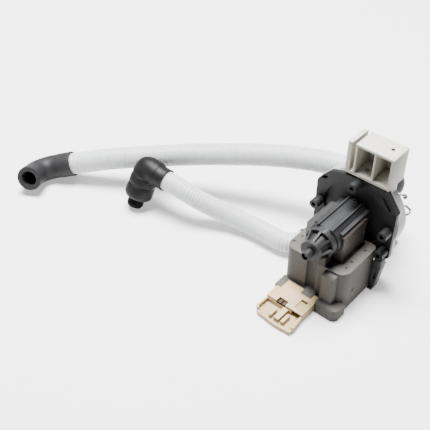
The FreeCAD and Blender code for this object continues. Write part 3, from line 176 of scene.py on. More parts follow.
def coated_output(tree, name, mesh, finish):
    """Ends a tree: its copies are made real, take the finish and go out under a name."""
    tree.interface.new_socket(name, in_out="OUTPUT", socket_type="NodeSocketGeometry")
    real = step(tree, "GeometryNodeRealizeInstances", Geometry=mesh)
    coated = step(tree, "GeometryNodeSetMaterial", Geometry=real.outputs["Geometry"], Material=finish)
    tree.links.new(coated.outputs["Geometry"], tree.nodes.new("NodeGroupOutput").inputs[name])


def blown_hose_tree():
    """A tube round a centreline; its radius swells at each rib, and the swell is kept as an attribute."""
    tree = bpy.data.node_groups.new("blown_hose", "GeometryNodeTree")
    given = inputs_of(tree, {
        "Centreline": "Geometry", "Radius": "Float", "Rib depth": "Float", "Ribs": "Int", "Steps": "Int",
        "Around": "Int", "Plastic": "Material"})
    curve = step(tree, "GeometryNodeMeshToCurve", Mesh=given["Centreline"]).outputs["Curve"]
    count = math_node(tree, "ADD", math_node(tree, "MULTIPLY", given["Ribs"], given["Steps"]), 1.0)
    rings = step(tree, "GeometryNodeResampleCurve", Curve=curve, Count=count).outputs["Curve"]
    place = math_node(tree, "DIVIDE", tree.nodes.new("GeometryNodeInputIndex").outputs[0], given["Steps"])
    wave = math_node(tree, "SINE", math_node(tree, "MULTIPLY", math_node(tree, "FRACT", place), math.pi))
    steep = math_node(tree, "MULTIPLY", math_node(tree, "POWER", wave, 2.0), 2.2)
    swell = math_node(tree, "MINIMUM", steep, 1.0)
    marked = step(tree, "GeometryNodeStoreNamedAttribute", Geometry=rings, Name="crest", Value=swell)
    base = math_node(tree, "SUBTRACT", given["Radius"], given["Rib depth"])
    size = math_node(tree, "ADD", base, math_node(tree, "MULTIPLY", swell, given["Rib depth"]))
    circle = step(tree, "GeometryNodeCurvePrimitiveCircle", Resolution=given["Around"], Radius=1.0)
    tube = step(tree, "GeometryNodeCurveToMesh", Curve=marked.outputs["Geometry"],
                Profile_Curve=circle.outputs["Curve"], Scale=size)
    coated_output(tree, "Hose", tube.outputs["Mesh"], given["Plastic"])
    return tree


def made_with(tree, holder, sizes):
    """The plain mesh that a tree makes of an object once its named inputs are set."""
    modifier = holder.modifiers.new(tree.name, "NODES")
    modifier.node_group = tree
    for item in tree.interface.items_tree:
        if item.item_type == "SOCKET" and item.in_out == "INPUT" and item.name in sizes:
            modifier[item.identifier] = sizes[item.name]
    return settled(holder)


def placed(name, mesh, finish=None):
    """An object that shows a mesh where the mesh is."""
    piece = bpy.data.objects.new(name, mesh)
    bpy.context.scene.collection.objects.link(piece)
    if finish is not None:
        mesh.materials.clear()
        mesh.materials.append(finish)
    return piece


def mixed(tree, share, first, second):
    """A colour between two others, each of them a socket or its red, green and blue."""
    node = tree.nodes.new("ShaderNodeMix")
    node.data_type = "RGBA"
    tree.links.new(share, node.inputs["Factor"])
    for name, colour in (("A", first), ("B", second)):
        if isinstance(colour, bpy.types.NodeSocket):
            tree.links.new(colour, node.inputs[name])
        else:
            node.inputs[name].default_value = (*colour, 1.0)
    return node.outputs["Result"]


def hose_plastic():
    """Milky plastic that lets light through, with painted shade, a darker grey, down between the rings."""
    material = bpy.data.materials.new("hose_plastic")
    material.use_nodes = True
    tree = material.node_tree
    shader = tree.nodes["Principled BSDF"]
    spot = tree.nodes.new("ShaderNodeTexCoord").outputs["Object"]
    cloud = step(tree, "ShaderNodeTexNoise", Vector=spot, Scale=38.0, Detail=3.0).outputs["Fac"]
    crest = tree.nodes.new("ShaderNodeAttribute")
    crest.attribute_name = "crest"
    # Painted shade: the grooves take the darker grey, the crests the lighter one.
    share = math_node(tree, "ADD", math_node(tree, "MULTIPLY", crest.outputs["Fac"], 0.75),
                      math_node(tree, "MULTIPLY", cloud, 0.3))
    tree.links.new(mixed(tree, share, groove_shade_grey, crest_white), shader.inputs["Base Color"])
    gloss = step(tree, "ShaderNodeMapRange", Value=cloud, To_Min=0.34, To_Max=0.48)
    tree.links.new(gloss.outputs["Result"], shader.inputs["Roughness"])
    shader.inputs["Subsurface Weight"].default_value = 0.8
    shader.inputs["Subsurface Radius"].default_value = (0.008, 0.008, 0.008)
    shader.inputs["Subsurface Scale"].default_value = 1.0
    shader.inputs["IOR"].default_value = 1.49
    return material


def blown_hose(name, route, radius, ribs):
    """A ringed hose with its wall, closed at both ends, and the line that it follows."""
    line = centreline(name + "_line", route)
    path = [point.co.copy() for point in line.vertices]
    holder = placed(name + "_holder", line)
    mesh = made_with(hose_tree, holder, {
        "Radius": radius, "Rib depth": rib_depth, "Ribs": ribs, "Steps": rib_steps, "Around": hose_sides,
        "Plastic": milky})
    piece = placed(name, mesh, milky)
    for face in mesh.polygons:
        face.use_smooth = True
    thickness = piece.modifiers.new("wall", "SOLIDIFY")
    thickness.thickness = hose_wall
    thickness.offset = -1.0
    return piece, path


hose_tree = blown_hose_tree()
milky = hose_plastic()
inlet_hose, inlet_path = blown_hose("large_hose", inlet_route, inlet_radius, inlet_ribs)
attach(inlet_hose, "pump")
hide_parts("inlet_hose")

# Inlet elbow
# A thick moulded rubber elbow behind the pump. One leg is pushed over the inlet stub, the other
# holds the large hose, and a shallow band keeps the wire clamp in its place.

pump_axis = 0.0565
inlet_corner = (0.0, 0.0925, pump_axis)
crease_angle = math.radians(35)
cloud_spread = 0.12
dust_grey = (0.5, 0.5, 0.5)
# Painted shade on faces that look to the front and right, away from the overhead light: the side, and the
# shares of the colour left there.
shaded_side = (0.72, -0.69, 0.0)
side_shade_shares = (0.30, 0.28, 0.25)
# Painted shade in recesses: the shares of the colour left there, and how far a recess reaches.
recess_shade_shares = (0.12, 0.11, 0.10)
recess_reach = 0.006


class ElbowMould:
    """Gives the rings of a rubber elbow: two legs from a corner, and a bend about a crease inside it."""

    def __init__(self, corner, way_a, way_b, bend, full_corner=True):
        self.corner = Vector(corner)
        self.way_a = Vector(way_a).normalized()
        self.way_b = Vector(way_b).normalized()
        self.side = self.way_a.cross(self.way_b).normalized()
        self.in_a = (self.way_b - self.way_a * self.way_a.dot(self.way_b)).normalized()
        self.in_b = (self.way_a - self.way_b * self.way_a.dot(self.way_b)).normalized()
        self.turn = math.pi - self.way_a.angle(self.way_b)
        self.bend = bend
        self.reach = bend * math.tan(self.turn / 2)
        self.crease = self.corner + self.way_a * self.reach + self.in_a * bend
        self.full = full_corner

    def leg_a(self, *stations):
        """Rings on the first leg, from the distance from the corner and the radius of each."""
        return [(self.corner + self.way_a * distance, self.in_a * radius, self.side * radius)
                for distance, radius in stations]

    def leg_b(self, *stations):
        """Rings on the second leg, from the distance from the corner and the radius of each."""
        return [(self.corner + self.way_b * distance, self.in_b * radius, self.side * radius)
                for distance, radius in stations]

    def around(self, radius, count=12):
        """The rings of the bend; a full corner bulges out to where a ball at the corner would."""
        ball = self.bend / math.cos(self.turn / 2) + radius
        bulge = ball / (self.bend + radius) - 1 if self.full else 0.0
        rings = []
        for number in range(count + 1):
            share = number / count
            inward = Matrix.Rotation(-self.turn * share, 3, self.side) @ self.in_a
            far = (self.bend + radius) * (1 + bulge * math.sin(math.pi * share) ** 2)
            near = self.bend - radius
            centre = self.crease - inward * (far + near) / 2
            rings.append((centre, inward * (far - near) / 2, self.side * radius))
        return rings


def mesh_of(name, shape):
    """A mesh from a bmesh, which is freed."""
    mesh = bpy.data.meshes.new(name)
    shape.to_mesh(mesh)
    shape.free()
    return mesh


def facing_out(mesh):
    """Merges a closed mesh, turns its faces outward and leaves it smooth but for its creases."""
    shape = bmesh.new()
    shape.from_mesh(mesh)
    bmesh.ops.remove_doubles(shape, verts=shape.verts, dist=2e-6)
    bmesh.ops.recalc_face_normals(shape, faces=shape.faces)
    for face in shape.faces:
        face.smooth = True
    for edge in shape.edges:
        edge.smooth = len(edge.link_faces) == 2 and edge.calc_face_angle(0.0) < crease_angle
    shape.to_mesh(mesh)
    shape.free()
    return mesh


def rubber_skin(name, rings, finish, around=44):
    """A closed piece: rings out along the outside and back through the bore, the last tied to the first."""
    shape = bmesh.new()
    turns = [math.tau * number / around for number in range(around)]
    loops = [[shape.verts.new(centre + across * math.cos(turn) + along * math.sin(turn)) for turn in turns]
             for centre, across, along in rings]
    for loop, after in zip(loops, loops[1:] + loops[:1]):
        for number in range(around):
            beyond = (number + 1) % around
            shape.faces.new((loop[number], loop[beyond], after[beyond], after[number]))
    return placed(name, facing_out(mesh_of(name, shape)), finish)


def grained_finish(name, colour, rough, grain, depth, shine=0.4, metal=0.0, dust=0.0, side_shade=0.0, recess_shade=0.6):
    """Cloudy and finely grained, with dust on top, painted shade on faces that look to the front and right,
    and painted shade in recesses.
    """
    material = bpy.data.materials.new(name)
    material.use_nodes = True
    tree = material.node_tree
    shader = tree.nodes["Principled BSDF"]
    spot = tree.nodes.new("ShaderNodeTexCoord").outputs["Object"]
    normal = tree.nodes.new("ShaderNodeNewGeometry").outputs["Normal"]
    clouds = step(tree, "ShaderNodeTexNoise", Vector=spot, Scale=90.0, Detail=4.0, Roughness=0.6)
    cloud = clouds.outputs["Fac"]
    fine = step(tree, "ShaderNodeTexNoise", Vector=spot, Scale=grain, Detail=2.0).outputs["Fac"]
    shade = mixed(tree, cloud, [part * (1 - cloud_spread) for part in colour],
                  [min(1.0, part * (1 + cloud_spread)) for part in colour])
    upward = step(tree, "ShaderNodeSeparateXYZ", Vector=normal).outputs["Z"]
    on_top = math_node(tree, "MULTIPLY", math_node(tree, "MAXIMUM", upward, 0.0), cloud)
    shade = mixed(tree, math_node(tree, "MULTIPLY", on_top, dust), shade, dust_grey)
    # Painted shade: the more a face looks to the front and right, the darker its colour, by the given weight.
    facing = step(tree, "ShaderNodeVectorMath", Vector=normal)
    facing.operation = "DOT_PRODUCT"
    facing.inputs[1].default_value = shaded_side
    facing_shaded_side = math_node(tree, "MAXIMUM", facing.outputs["Value"], 0.0)
    shade = mixed(tree, math_node(tree, "MULTIPLY", facing_shaded_side, side_shade), shade,
                  [part * share for part, share in zip(colour, side_shade_shares)])
    # Painted shade: recesses found by ambient occlusion are darkened on every finish, unless the finish asks
    # for less.
    open_sky = step(tree, "ShaderNodeAmbientOcclusion", Distance=recess_reach)
    open_sky.samples = 8
    closed = math_node(tree, "SUBTRACT", 1.0, open_sky.outputs["AO"])
    shade = mixed(tree, math_node(tree, "MULTIPLY", closed, recess_shade), shade,
                  [part * share for part, share in zip(colour, recess_shade_shares)])
    tree.links.new(shade, shader.inputs["Base Color"])
    gloss = step(tree, "ShaderNodeMapRange", Value=cloud, To_Min=rough - 0.07, To_Max=rough + 0.07)
    tree.links.new(gloss.outputs["Result"], shader.inputs["Roughness"])
    lift = step(tree, "ShaderNodeBump", Height=fine, Strength=0.5, Distance=depth)
    tree.links.new(lift.outputs["Normal"], shader.inputs["Normal"])
    shader.inputs["Metallic"].default_value = metal
    shader.inputs["Specular IOR Level"].default_value = shine
    return material


elbow_rubber = grained_finish(
    "elbow_rubber", (0.012, 0.012, 0.013), 0.58, 2200.0, 0.00006, shine=0.2, dust=0.02)
inlet_way = Vector(inlet_route[1]) - Vector(inlet_corner)
inlet_mould = ElbowMould(inlet_corner, (0, -1, 0), inlet_way, bend=0.0130)
inlet_elbow = rubber_skin("inlet_elbow_rubber", [
    *inlet_mould.leg_a((0.0265, 0.0112), (0.0261, 0.0120), (0.0254, 0.0123), (0.0190, 0.0123),
                       (0.0187, 0.0119), (0.0136, 0.0119)),
    *inlet_mould.around(0.0122),
    *inlet_mould.leg_b((0.0215, 0.0122), (0.0235, 0.0121), (0.0240, 0.0116), (0.0240, 0.0102),
                       (0.0235, 0.0097), (0.0120, 0.0096)),
    *reversed(inlet_mould.around(0.0075)),
    *inlet_mould.leg_a((0.0126, 0.0099), (0.0260, 0.0099), (0.0265, 0.0103)),
], elbow_rubber)
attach(inlet_elbow, "pump")
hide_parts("inlet_elbow")

# Inlet clamp
# A spring clamp of round steel wire, with a hooked and a triangular tang that stand out to the
# right. The wire is bright, with a fine grain.


def bent_wire_tree():
    """Round wire along a line of points, with every corner rounded."""
    tree = bpy.data.node_groups.new("bent_wire", "GeometryNodeTree")
    given = inputs_of(tree, {
        "Path": "Geometry", "Wire radius": "Float", "Bend radius": "Float", "Finish": "Material"})
    line = step(tree, "GeometryNodeMeshToCurve", Mesh=given["Path"]).outputs["Curve"]
    bent = step(tree, "GeometryNodeFilletCurve", Curve=line, Radius=given["Bend radius"], Limit_Radius=True)
    circle = step(tree, "GeometryNodeCurvePrimitiveCircle", Resolution=14, Radius=given["Wire radius"])
    wire = step(tree, "GeometryNodeCurveToMesh", Curve=bent.outputs["Curve"],
                Profile_Curve=circle.outputs["Curve"], Fill_Caps=True)
    coated_output(tree, "Wire", wire.outputs["Mesh"], given["Finish"])
    return tree


clamp_place = 0.077
clamp_radius = 0.0132
clamp_offset = 0.001
ring_steps = 44
ring_start = 4
ring_sweep = 340
lower_tang = [(0.0246, 0.0487), (0.0274, 0.0494), (0.0295, 0.0527), (0.0286, 0.0553), (0.0244, 0.0570)]
upper_tang = [(0.0204, 0.0632), (0.0236, 0.0656), (0.0229, 0.0610), (0.0206, 0.0616)]
clamp_points = [(x, clamp_place - clamp_offset, z) for x, z in lower_tang]
for number in range(ring_steps + 1):
    turn = math.radians(ring_start - ring_sweep * number / ring_steps)
    clamp_points.append((
        clamp_radius * math.cos(turn),
        clamp_place - clamp_offset + 2 * clamp_offset * number / ring_steps,
        pump_axis + clamp_radius * math.sin(turn),
    ))
clamp_points += [(x, clamp_place + clamp_offset, z) for x, z in upper_tang]
clamp_line = bpy.data.meshes.new("clamp_line")
clamp_line.from_pydata(clamp_points, [(number, number + 1) for number in range(len(clamp_points) - 1)], [])
wire_steel = grained_finish("clamp_steel", (0.50, 0.50, 0.52), 0.30, 1500.0, 0.00003, metal=1.0)
clamp = placed("spring_clamp", made_with(bent_wire_tree(), placed("clamp_holder", clamp_line), {
    "Wire radius": 0.0009, "Bend radius": 0.0010, "Finish": wire_steel}), wire_steel)
facing_out(clamp.data)
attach(clamp, "pump")
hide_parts("inlet_clamp")

# End elbow of the large hose
# A softer bend of the same rubber. Its cuff swells over the hose, and the open mouth at the other
# end has a rounded lip and a wall that shows well in front.

end_corner = (-0.2689, -0.0382, 0.008)
end_way = Vector(inlet_route[7]) - Vector(end_corner)
mouth_way = (0.461, -0.829, 0.317)
end_mould = ElbowMould(end_corner, end_way, mouth_way, bend=0.0160, full_corner=False)
end_elbow = rubber_skin("end_elbow_rubber", [
    *end_mould.leg_a((0.0313, 0.0099), (0.0317, 0.0102), (0.0314, 0.0107), (0.0307, 0.0109),
                     (0.0290, 0.0108), (0.0200, 0.0108), (0.0184, 0.0106), (0.0174, 0.0104)),
    *end_mould.around(0.0104, 18),
    *end_mould.leg_b((0.0235, 0.0104), (0.0245, 0.0107), (0.0266, 0.0107), (0.0274, 0.0105),
                     (0.0277, 0.0100), (0.0277, 0.0073), (0.0274, 0.0067), (0.0266, 0.0065)),
    *reversed(end_mould.around(0.0065, 18)),
    *end_mould.leg_a((0.0168, 0.0065), (0.0172, 0.0095), (0.0306, 0.0095)),
], elbow_rubber)
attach(end_elbow, "pump")
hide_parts("inlet_end_elbow")

# Small hose
# The same kind of hose in a smaller size. It runs along the ground behind the block, then climbs in
# a gentle curve to the bellows boot.

outlet_route = [
    (-0.0321, 0.04572, 0.00944), (-0.0362, 0.0403, 0.0094), (-0.0440, 0.0268, 0.0092),
    (-0.0630, 0.0265, 0.0088), (-0.0815, 0.0256, 0.0090), (-0.1039, 0.0189, 0.0135),
    (-0.1230, 0.0084, 0.0230), (-0.1365, 0.0040, 0.0295), (-0.16764, 0.00207, 0.03244),
]
outlet_radius = 0.00825
outlet_ribs = 64
outlet_hose, outlet_path = blown_hose("small_hose", outlet_route, outlet_radius, outlet_ribs)
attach(outlet_hose, "pump")
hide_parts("outlet_hose")

# Outlet elbow
# A short rubber elbow from the downward outlet to the small hose. It hides behind the coil block.

outlet_corner = (-0.0254, 0.0545, 0.0095)
outlet_way = Vector(outlet_route[1]) - Vector(outlet_corner)
outlet_mould = ElbowMould(outlet_corner, (0, 0, 1), outlet_way, bend=0.0100)
outlet_elbow = rubber_skin("outlet_elbow_rubber", [
    *outlet_mould.leg_a((0.0139, 0.0084), (0.0137, 0.0090), (0.0129, 0.0092)),
    *outlet_mould.around(0.0092),
    *outlet_mould.leg_b((0.0118, 0.0092), (0.0197, 0.0093), (0.0204, 0.0092), (0.0205, 0.0088),
                        (0.0201, 0.0084), (0.0112, 0.00835)),
    *reversed(outlet_mould.around(0.0045)),
    *outlet_mould.leg_a((0.0108, 0.0048), (0.0110, 0.0063), (0.0137, 0.0063)),
], elbow_rubber)
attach(outlet_elbow, "pump")
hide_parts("outlet_elbow")

# Bellows boot
# Soft black rubber with three rolls above its foot, a round shoulder and a cuff over the small
# hose. The rolls get smaller upward, with narrow grooves between them.

boot_rubber = grained_finish(
    "boot_rubber", (0.003, 0.003, 0.003), 0.5, 1800.0, 0.00007, shine=0.18, dust=0.01)
boot_corner = (-0.1736, 0.0017, 0.033)
boot_foot = Vector((-0.1754, -0.0152, 0.0026))
boot_way = Vector(outlet_route[-2]) - Vector(boot_corner)
stack_way = boot_foot - Vector(boot_corner)
stack_height = stack_way.length
boot_mould = ElbowMould(boot_corner, stack_way, boot_way, bend=0.0113)
boot_groove = 0.0110
roll_sizes = [(0.0096, 0.0204, 0.0120), (0.0204, 0.0286, 0.0118), (0.0286, 0.0330, 0.0113)]
roll_steps = 10
roll_stations = []
for roll_start, roll_end, roll_crest in roll_sizes:
    for number in range(roll_steps):
        share = number / roll_steps
        height = roll_start + (roll_end - roll_start) * share
        swell = math.sin(math.pi * share) ** 0.45
        roll_stations.append((stack_height - height, boot_groove + (roll_crest - boot_groove) * swell))
boot = rubber_skin("bellows_boot", [
    *boot_mould.leg_a((stack_height - 0.0082, 0.0084), (stack_height - 0.0080, 0.0090),
                      (stack_height - 0.0082, 0.0096), (stack_height - 0.0088, 0.0100), *roll_stations),
    *boot_mould.around(0.0107, 14),
    *boot_mould.leg_b((0.0125, 0.0100), (0.0145, 0.0095), (0.0196, 0.0093), (0.0199, 0.0096),
                      (0.0212, 0.0096), (0.0215, 0.0091), (0.0214, 0.0086), (0.0207, 0.00835),
                      (0.0072, 0.00835)),
    *reversed(boot_mould.around(0.0056, 14)),
    *boot_mould.leg_a((stack_height - 0.0163, 0.0056), (stack_height - 0.0161, 0.0071),
                      (stack_height - 0.0086, 0.0071)),
], boot_rubber)
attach(boot, "pump")
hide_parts("outlet_boot")

# Spigot
# A plain black plastic tube, pushed up into the boot, whose lower end stands on the ground.


def coat(names, finish):
    """Gives CAD nodes a finish in place of the one they came with."""
    for name in names:
        nodes[name].data.materials.clear()
        nodes[name].data.materials.append(finish)


spigot_plastic = grained_finish("spigot_plastic", (0.0006, 0.0006, 0.0006), 0.5, 2600.0, 0.00003, shine=0.05)
coat(["outlet_spigot"], spigot_plastic)

# Coil block
# Both windings are moulded into one block of warm grey plastic with rounded edges. The top has
# small round sink marks, and the right face a raised pip.


def merged_copy(name):
    """A CAD node's mesh with its points merged and its flat faces made whole."""
    mesh = nodes[name].data.copy()
    shape = bmesh.new()
    shape.from_mesh(mesh)
    bmesh.ops.remove_doubles(shape, verts=shape.verts, dist=2e-6)
    bmesh.ops.dissolve_limit(shape, angle_limit=math.radians(0.5), verts=shape.verts, edges=shape.edges)
    shape.to_mesh(mesh)
    shape.free()
    return mesh


def rounded_skin(name, finish, width, marks=None):
    """A merged copy of a CAD node with rounded edges, and marks cut into it; it replaces the node."""
    holder = placed(name + "_holder", merged_copy(name))
    edge = holder.modifiers.new("edges", "BEVEL")
    edge.width = width
    edge.segments = 2
    edge.limit_method = "ANGLE"
    edge.angle_limit = math.radians(32)
    if marks:
        dent = holder.modifiers.new("marks", "BOOLEAN")
        dent.operation = "DIFFERENCE"
        dent.object = marks
    piece = placed(name + "_skin", facing_out(settled(holder)), finish)
    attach(piece, "pump")
    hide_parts(name)


block_top = 0.0385
sink_places = [(-0.0255, 0.0073), (-0.0239, 0.0154), (0.0195, 0.0091), (0.0190, 0.0167), (0.0200, 0.0331)]
sink_radius = 0.0012
sink_lift = 0.0003
sinks = bmesh.new()
for x, y in sink_places:
    bmesh.ops.create_uvsphere(sinks, u_segments=20, v_segments=12, radius=sink_radius,
                              matrix=Matrix.Translation((x, y, block_top + sink_lift)))
sink_marks = placed("sinks", mesh_of("sinks", sinks))
# Painted shade darkens the faces that look to the front and right.
block_plastic = grained_finish(
    "block_plastic", (0.060, 0.055, 0.048), 0.6, 1600.0, 0.00006, shine=0.2, dust=0.04, side_shade=0.3)
rounded_skin("coil_block", block_plastic, 0.0006, sink_marks)
bpy.data.objects.remove(sink_marks)
pip_place = Matrix.Translation((0.0245, 0.0150, 0.0141))
pip_size = Matrix.Diagonal((0.0006, 0.0019, 0.0028, 1.0))
pip_shape = bmesh.new()
bmesh.ops.create_uvsphere(
    pip_shape, u_segments=24, v_segments=16, radius=1.0, matrix=pip_place @ pip_size)
pip = placed("block_pip", facing_out(mesh_of("pip", pip_shape)), block_plastic)
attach(pip, "pump")

# Stator core
# A U of thin brown steel sheets, pressed together. The left leg is painted paler and greyer, as a
# painted sheen for the light on its sheet edges. One sheet is drawn and repeated along the stack.


def repeated_tree():
    """Copies of a shape in a straight row."""
    tree = bpy.data.node_groups.new("row_of_copies", "GeometryNodeTree")
    given = inputs_of(tree, {"Shape": "Geometry", "Count": "Int", "Step": "Vector", "Finish": "Material"})
    row = step(tree, "GeometryNodeMeshLine", Count=given["Count"], Offset=given["Step"]).outputs["Mesh"]
    copies = step(tree, "GeometryNodeInstanceOnPoints", Points=row, Instance=given["Shape"])
    coated_output(tree, "Row", copies.outputs["Instances"], given["Finish"])
    return tree


def prism(name, outline, low, high):
    """A closed solid from an outline in the XZ plane between two stations along Y."""
    shape = bmesh.new()
    front = [shape.verts.new((x, low, z)) for x, z in outline]
    back = [shape.verts.new((x, high, z)) for x, z in outline]
    shape.faces.new(front)
    shape.faces.new(reversed(back))
    for number in range(len(outline)):
        beyond = (number + 1) % len(outline)
        shape.faces.new((front[number], back[number], back[beyond], front[beyond]))
    bmesh.ops.recalc_face_normals(shape, faces=shape.faces)
    return mesh_of(name, shape)


def share_along(tree, source, axis, ends, shares):
    """A share that runs between two values while one axis of a vector runs between two ends."""
    parts = step(tree, "ShaderNodeSeparateXYZ", Vector=source)
    return step(tree, "ShaderNodeMapRange", Value=parts.outputs[axis], From_Min=ends[0], From_Max=ends[1],
                To_Min=shares[0], To_Max=shares[1]).outputs["Result"]


def shade_over(finish, share, colour):
    """Gives a finish another colour where the share is one."""
    tree = finish.node_tree
    base = tree.nodes["Principled BSDF"].inputs["Base Color"]
    tree.links.new(mixed(tree, share, base.links[0].from_socket, colour), base)


core_front = 0.010
core_back = 0.039
core_bottom = 0.0035
core_top = pump_axis + 0.006
core_inner = 0.0046
core_left = 0.018
core_right = 0.0142
core_round = 0.003
yoke_top = core_bottom + 0.010
bore_radius = 0.0129
sheet_count = 58
sheet_share = 0.9
sheet_pitch = (core_back - core_front) / sheet_count
arc_steps = 14
arc_start = math.asin((core_top - pump_axis) / bore_radius)
arc_end = -math.acos(core_inner / bore_radius)
arc_turns = [arc_start + (arc_end - arc_start) * number / arc_steps for number in range(arc_steps + 1)]
right_arc = [(bore_radius * math.cos(turn), pump_axis + bore_radius * math.sin(turn)) for turn in arc_turns]
left_arc = [(-x, z) for x, z in reversed(right_arc)]
shoulder = [(-core_left + core_round * (1 - math.sin(turn)), core_top - core_round * (1 - math.cos(turn)))
            for turn in [math.pi / 2 * number / 6 for number in range(7)]]
sheet = prism("core_sheet", [
    (-core_left, core_bottom), (core_right, core_bottom), (core_right, core_top), *right_arc,
    (core_inner, yoke_top), (-core_inner, yoke_top), *left_arc, *shoulder,
], core_front, core_front + sheet_pitch * sheet_share)
core_steel = grained_finish("core_steel", (0.036, 0.029, 0.024), 0.36, 900.0, 0.00004, metal=0.5)
core_spot = core_steel.node_tree.nodes.new("ShaderNodeTexCoord").outputs["Object"]
# Painted sheen: the left leg is turned paler and greyer.
left_leg_sheen_share = share_along(core_steel.node_tree, core_spot, "X", (-0.009, -0.012), (0.0, 1.0))
shade_over(core_steel, left_leg_sheen_share, (0.05, 0.05, 0.048))
stack = placed("stator_sheets", made_with(repeated_tree(), placed("sheet_holder", sheet), {
    "Count": sheet_count, "Step": (0.0, sheet_pitch, 0.0), "Finish": core_steel}), core_steel)
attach(stack, "pump")
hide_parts("stator_core")

# Windings
# Enamelled copper wire on cream bobbins, inside the block. Each has four layers of turns that lie
# side by side.


def wound_tree():
    """Turns of round wire: each closed loop of the lines becomes a wire, repeated up the bobbin."""
    tree = bpy.data.node_groups.new("wound_turns", "GeometryNodeTree")
    given = inputs_of(tree, {
        "Loops": "Geometry", "Wire radius": "Float", "Turns": "Int", "Step": "Vector", "Finish": "Material"})
    curve = step(tree, "GeometryNodeMeshToCurve", Mesh=given["Loops"]).outputs["Curve"]
    circle = step(tree, "GeometryNodeCurvePrimitiveCircle", Resolution=8, Radius=given["Wire radius"])
    wire = step(tree, "GeometryNodeCurveToMesh", Curve=curve, Profile_Curve=circle.outputs["Curve"])
    row = step(tree, "GeometryNodeMeshLine", Count=given["Turns"], Offset=given["Step"]).outputs["Mesh"]
    copies = step(tree, "GeometryNodeInstanceOnPoints", Points=row, Instance=wire.outputs["Mesh"])
    coated_output(tree, "Winding", copies.outputs["Instances"], given["Finish"])
    return tree


wire_radius = 0.00022
winding_inner = 0.0008
winding_low = 0.015
winding_high = 0.034
wire_layers = 4
wire_turns = 42
turn_step = (winding_high - winding_low - 2 * wire_radius) / (wire_turns - 1)
copper = grained_finish("winding_copper", (0.55, 0.22, 0.08), 0.3, 900.0, 0.00004, metal=1.0)
turns_tree = wound_tree()
for side, left_face, right_face in (("left", -core_left, -core_inner), ("right", core_inner, core_right)):
    loops = bmesh.new()
    for layer in range(wire_layers):
        margin = winding_inner + wire_radius * (2 * layer + 1)
        corner = 0.0004 + margin * 0.7
        left, right = left_face - margin + corner, right_face + margin - corner
        front, back = core_front - margin + corner, core_back + margin - corner
        points = []
        for quarter, (x, y) in enumerate(((right, back), (left, back), (left, front), (right, front))):
            for number in range(5):
                turn = math.pi / 2 * (quarter + number / 4)
                points.append(loops.verts.new(
                    (x + corner * math.cos(turn), y + corner * math.sin(turn), winding_low + wire_radius)))
        for point, after in zip(points, points[1:] + points[:1]):
            loops.edges.new((point, after))
    loop_holder = placed("loop_holder", mesh_of("loops_" + side, loops))
    winding = placed("winding_" + side, made_with(turns_tree, loop_holder, {
        "Wire radius": wire_radius, "Turns": wire_turns, "Step": (0.0, 0.0, turn_step), "Finish": copper,
    }), copper)
    for face in winding.data.polygons:
        face.use_smooth = True
    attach(winding, "pump")
    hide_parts("coil_" + side)
bobbin_plastic = grained_finish("bobbin_plastic", (0.55, 0.50, 0.38), 0.5, 1600.0, 0.00005)
coat(["bobbin_left", "bobbin_right"], bobbin_plastic)

# Rotor canister
# Nose, barrel and plate are one moulding of slate grey plastic. The plate behind is a darker tone
# than the barrel, and painted shade darkens its front faces much more, as it does the faces of the
# whole canister that look to the front and right.

# Painted shade darkens the faces that look to the front and right.
canister_plastic = grained_finish(
    "canister_plastic", (0.013, 0.0135, 0.0145), 0.5, 1800.0, 0.00006, shine=0.2, dust=0.03, side_shade=0.7)
canister_tree = canister_plastic.node_tree
canister_spot = canister_tree.nodes.new("ShaderNodeTexCoord").outputs["Object"]
canister_normal = canister_tree.nodes.new("ShaderNodeNewGeometry").outputs["Normal"]
# The plate is a darker tone; painted shade darkens its forward-looking faces much further.
plate_share = share_along(canister_tree, canister_spot, "Y", (0.0080, 0.0430), (0.0, 0.96))
front_shade_share = share_along(canister_tree, canister_normal, "Y", (0.0, -1.0), (0.35, 1.0))
plate_tone_and_shade_share = math_node(canister_tree, "MULTIPLY", plate_share, front_shade_share)
shade_over(canister_plastic, plate_tone_and_shade_share, (0.0012, 0.0012, 0.0014))
rounded_skin("rotor_canister", canister_plastic, 0.0003)

# Bearings
# Two polished carbon rings in rubber cups, the cover with its sealing ring, and the seal between
# plate and housing.


def rubber_ring(name, replaced, outline):
    """A closed ring about the pump's axis from corners of station and radius; it replaces a CAD node."""
    rings = [(Vector((0.0, place, pump_axis)), Vector((radius, 0.0, 0.0)), Vector((0.0, 0.0, radius)))
             for place, radius in outline]
    piece = rubber_skin(name, rings, inner_rubber, around=72)
    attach(piece, "pump")
    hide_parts(replaced)


carbon = grained_finish("bearing_carbon", (0.03, 0.03, 0.032), 0.25, 2500.0, 0.00002)
inner_rubber = grained_finish("inner_rubber", (0.02, 0.02, 0.02), 0.6, 2000.0, 0.00005)
cover_plastic = grained_finish("cover_plastic", (0.06, 0.06, 0.065), 0.5, 1800.0, 0.00005)
coat(["front_bearing", "rear_bearing"], carbon)
coat(["bearing_cover"], cover_plastic)
rubber_ring("front_cup_rubber", "front_bearing_cup", [
    (-0.0069, 0.0026), (-0.0069, 0.0057), (-0.0067, 0.00595), (0.0017, 0.00595), (0.0019, 0.0058),
    (0.0019, 0.00455), (-0.0047, 0.00455), (-0.0047, 0.0026)])
rubber_ring("rear_cup_rubber", "rear_bearing_cup", [
    (0.0400, 0.00455), (0.0400, 0.0058), (0.0402, 0.0060), (0.0459, 0.0060), (0.04605, 0.0058),
    (0.04605, 0.00455)])
seal_turns = [math.tau * number / 14 for number in range(14)]
seal_radius = 0.0008
rubber_ring("cover_seal", "cover_o_ring", [
    (0.0440 + seal_radius * math.sin(turn), 0.0096 + seal_radius * math.cos(turn)) for turn in seal_turns])
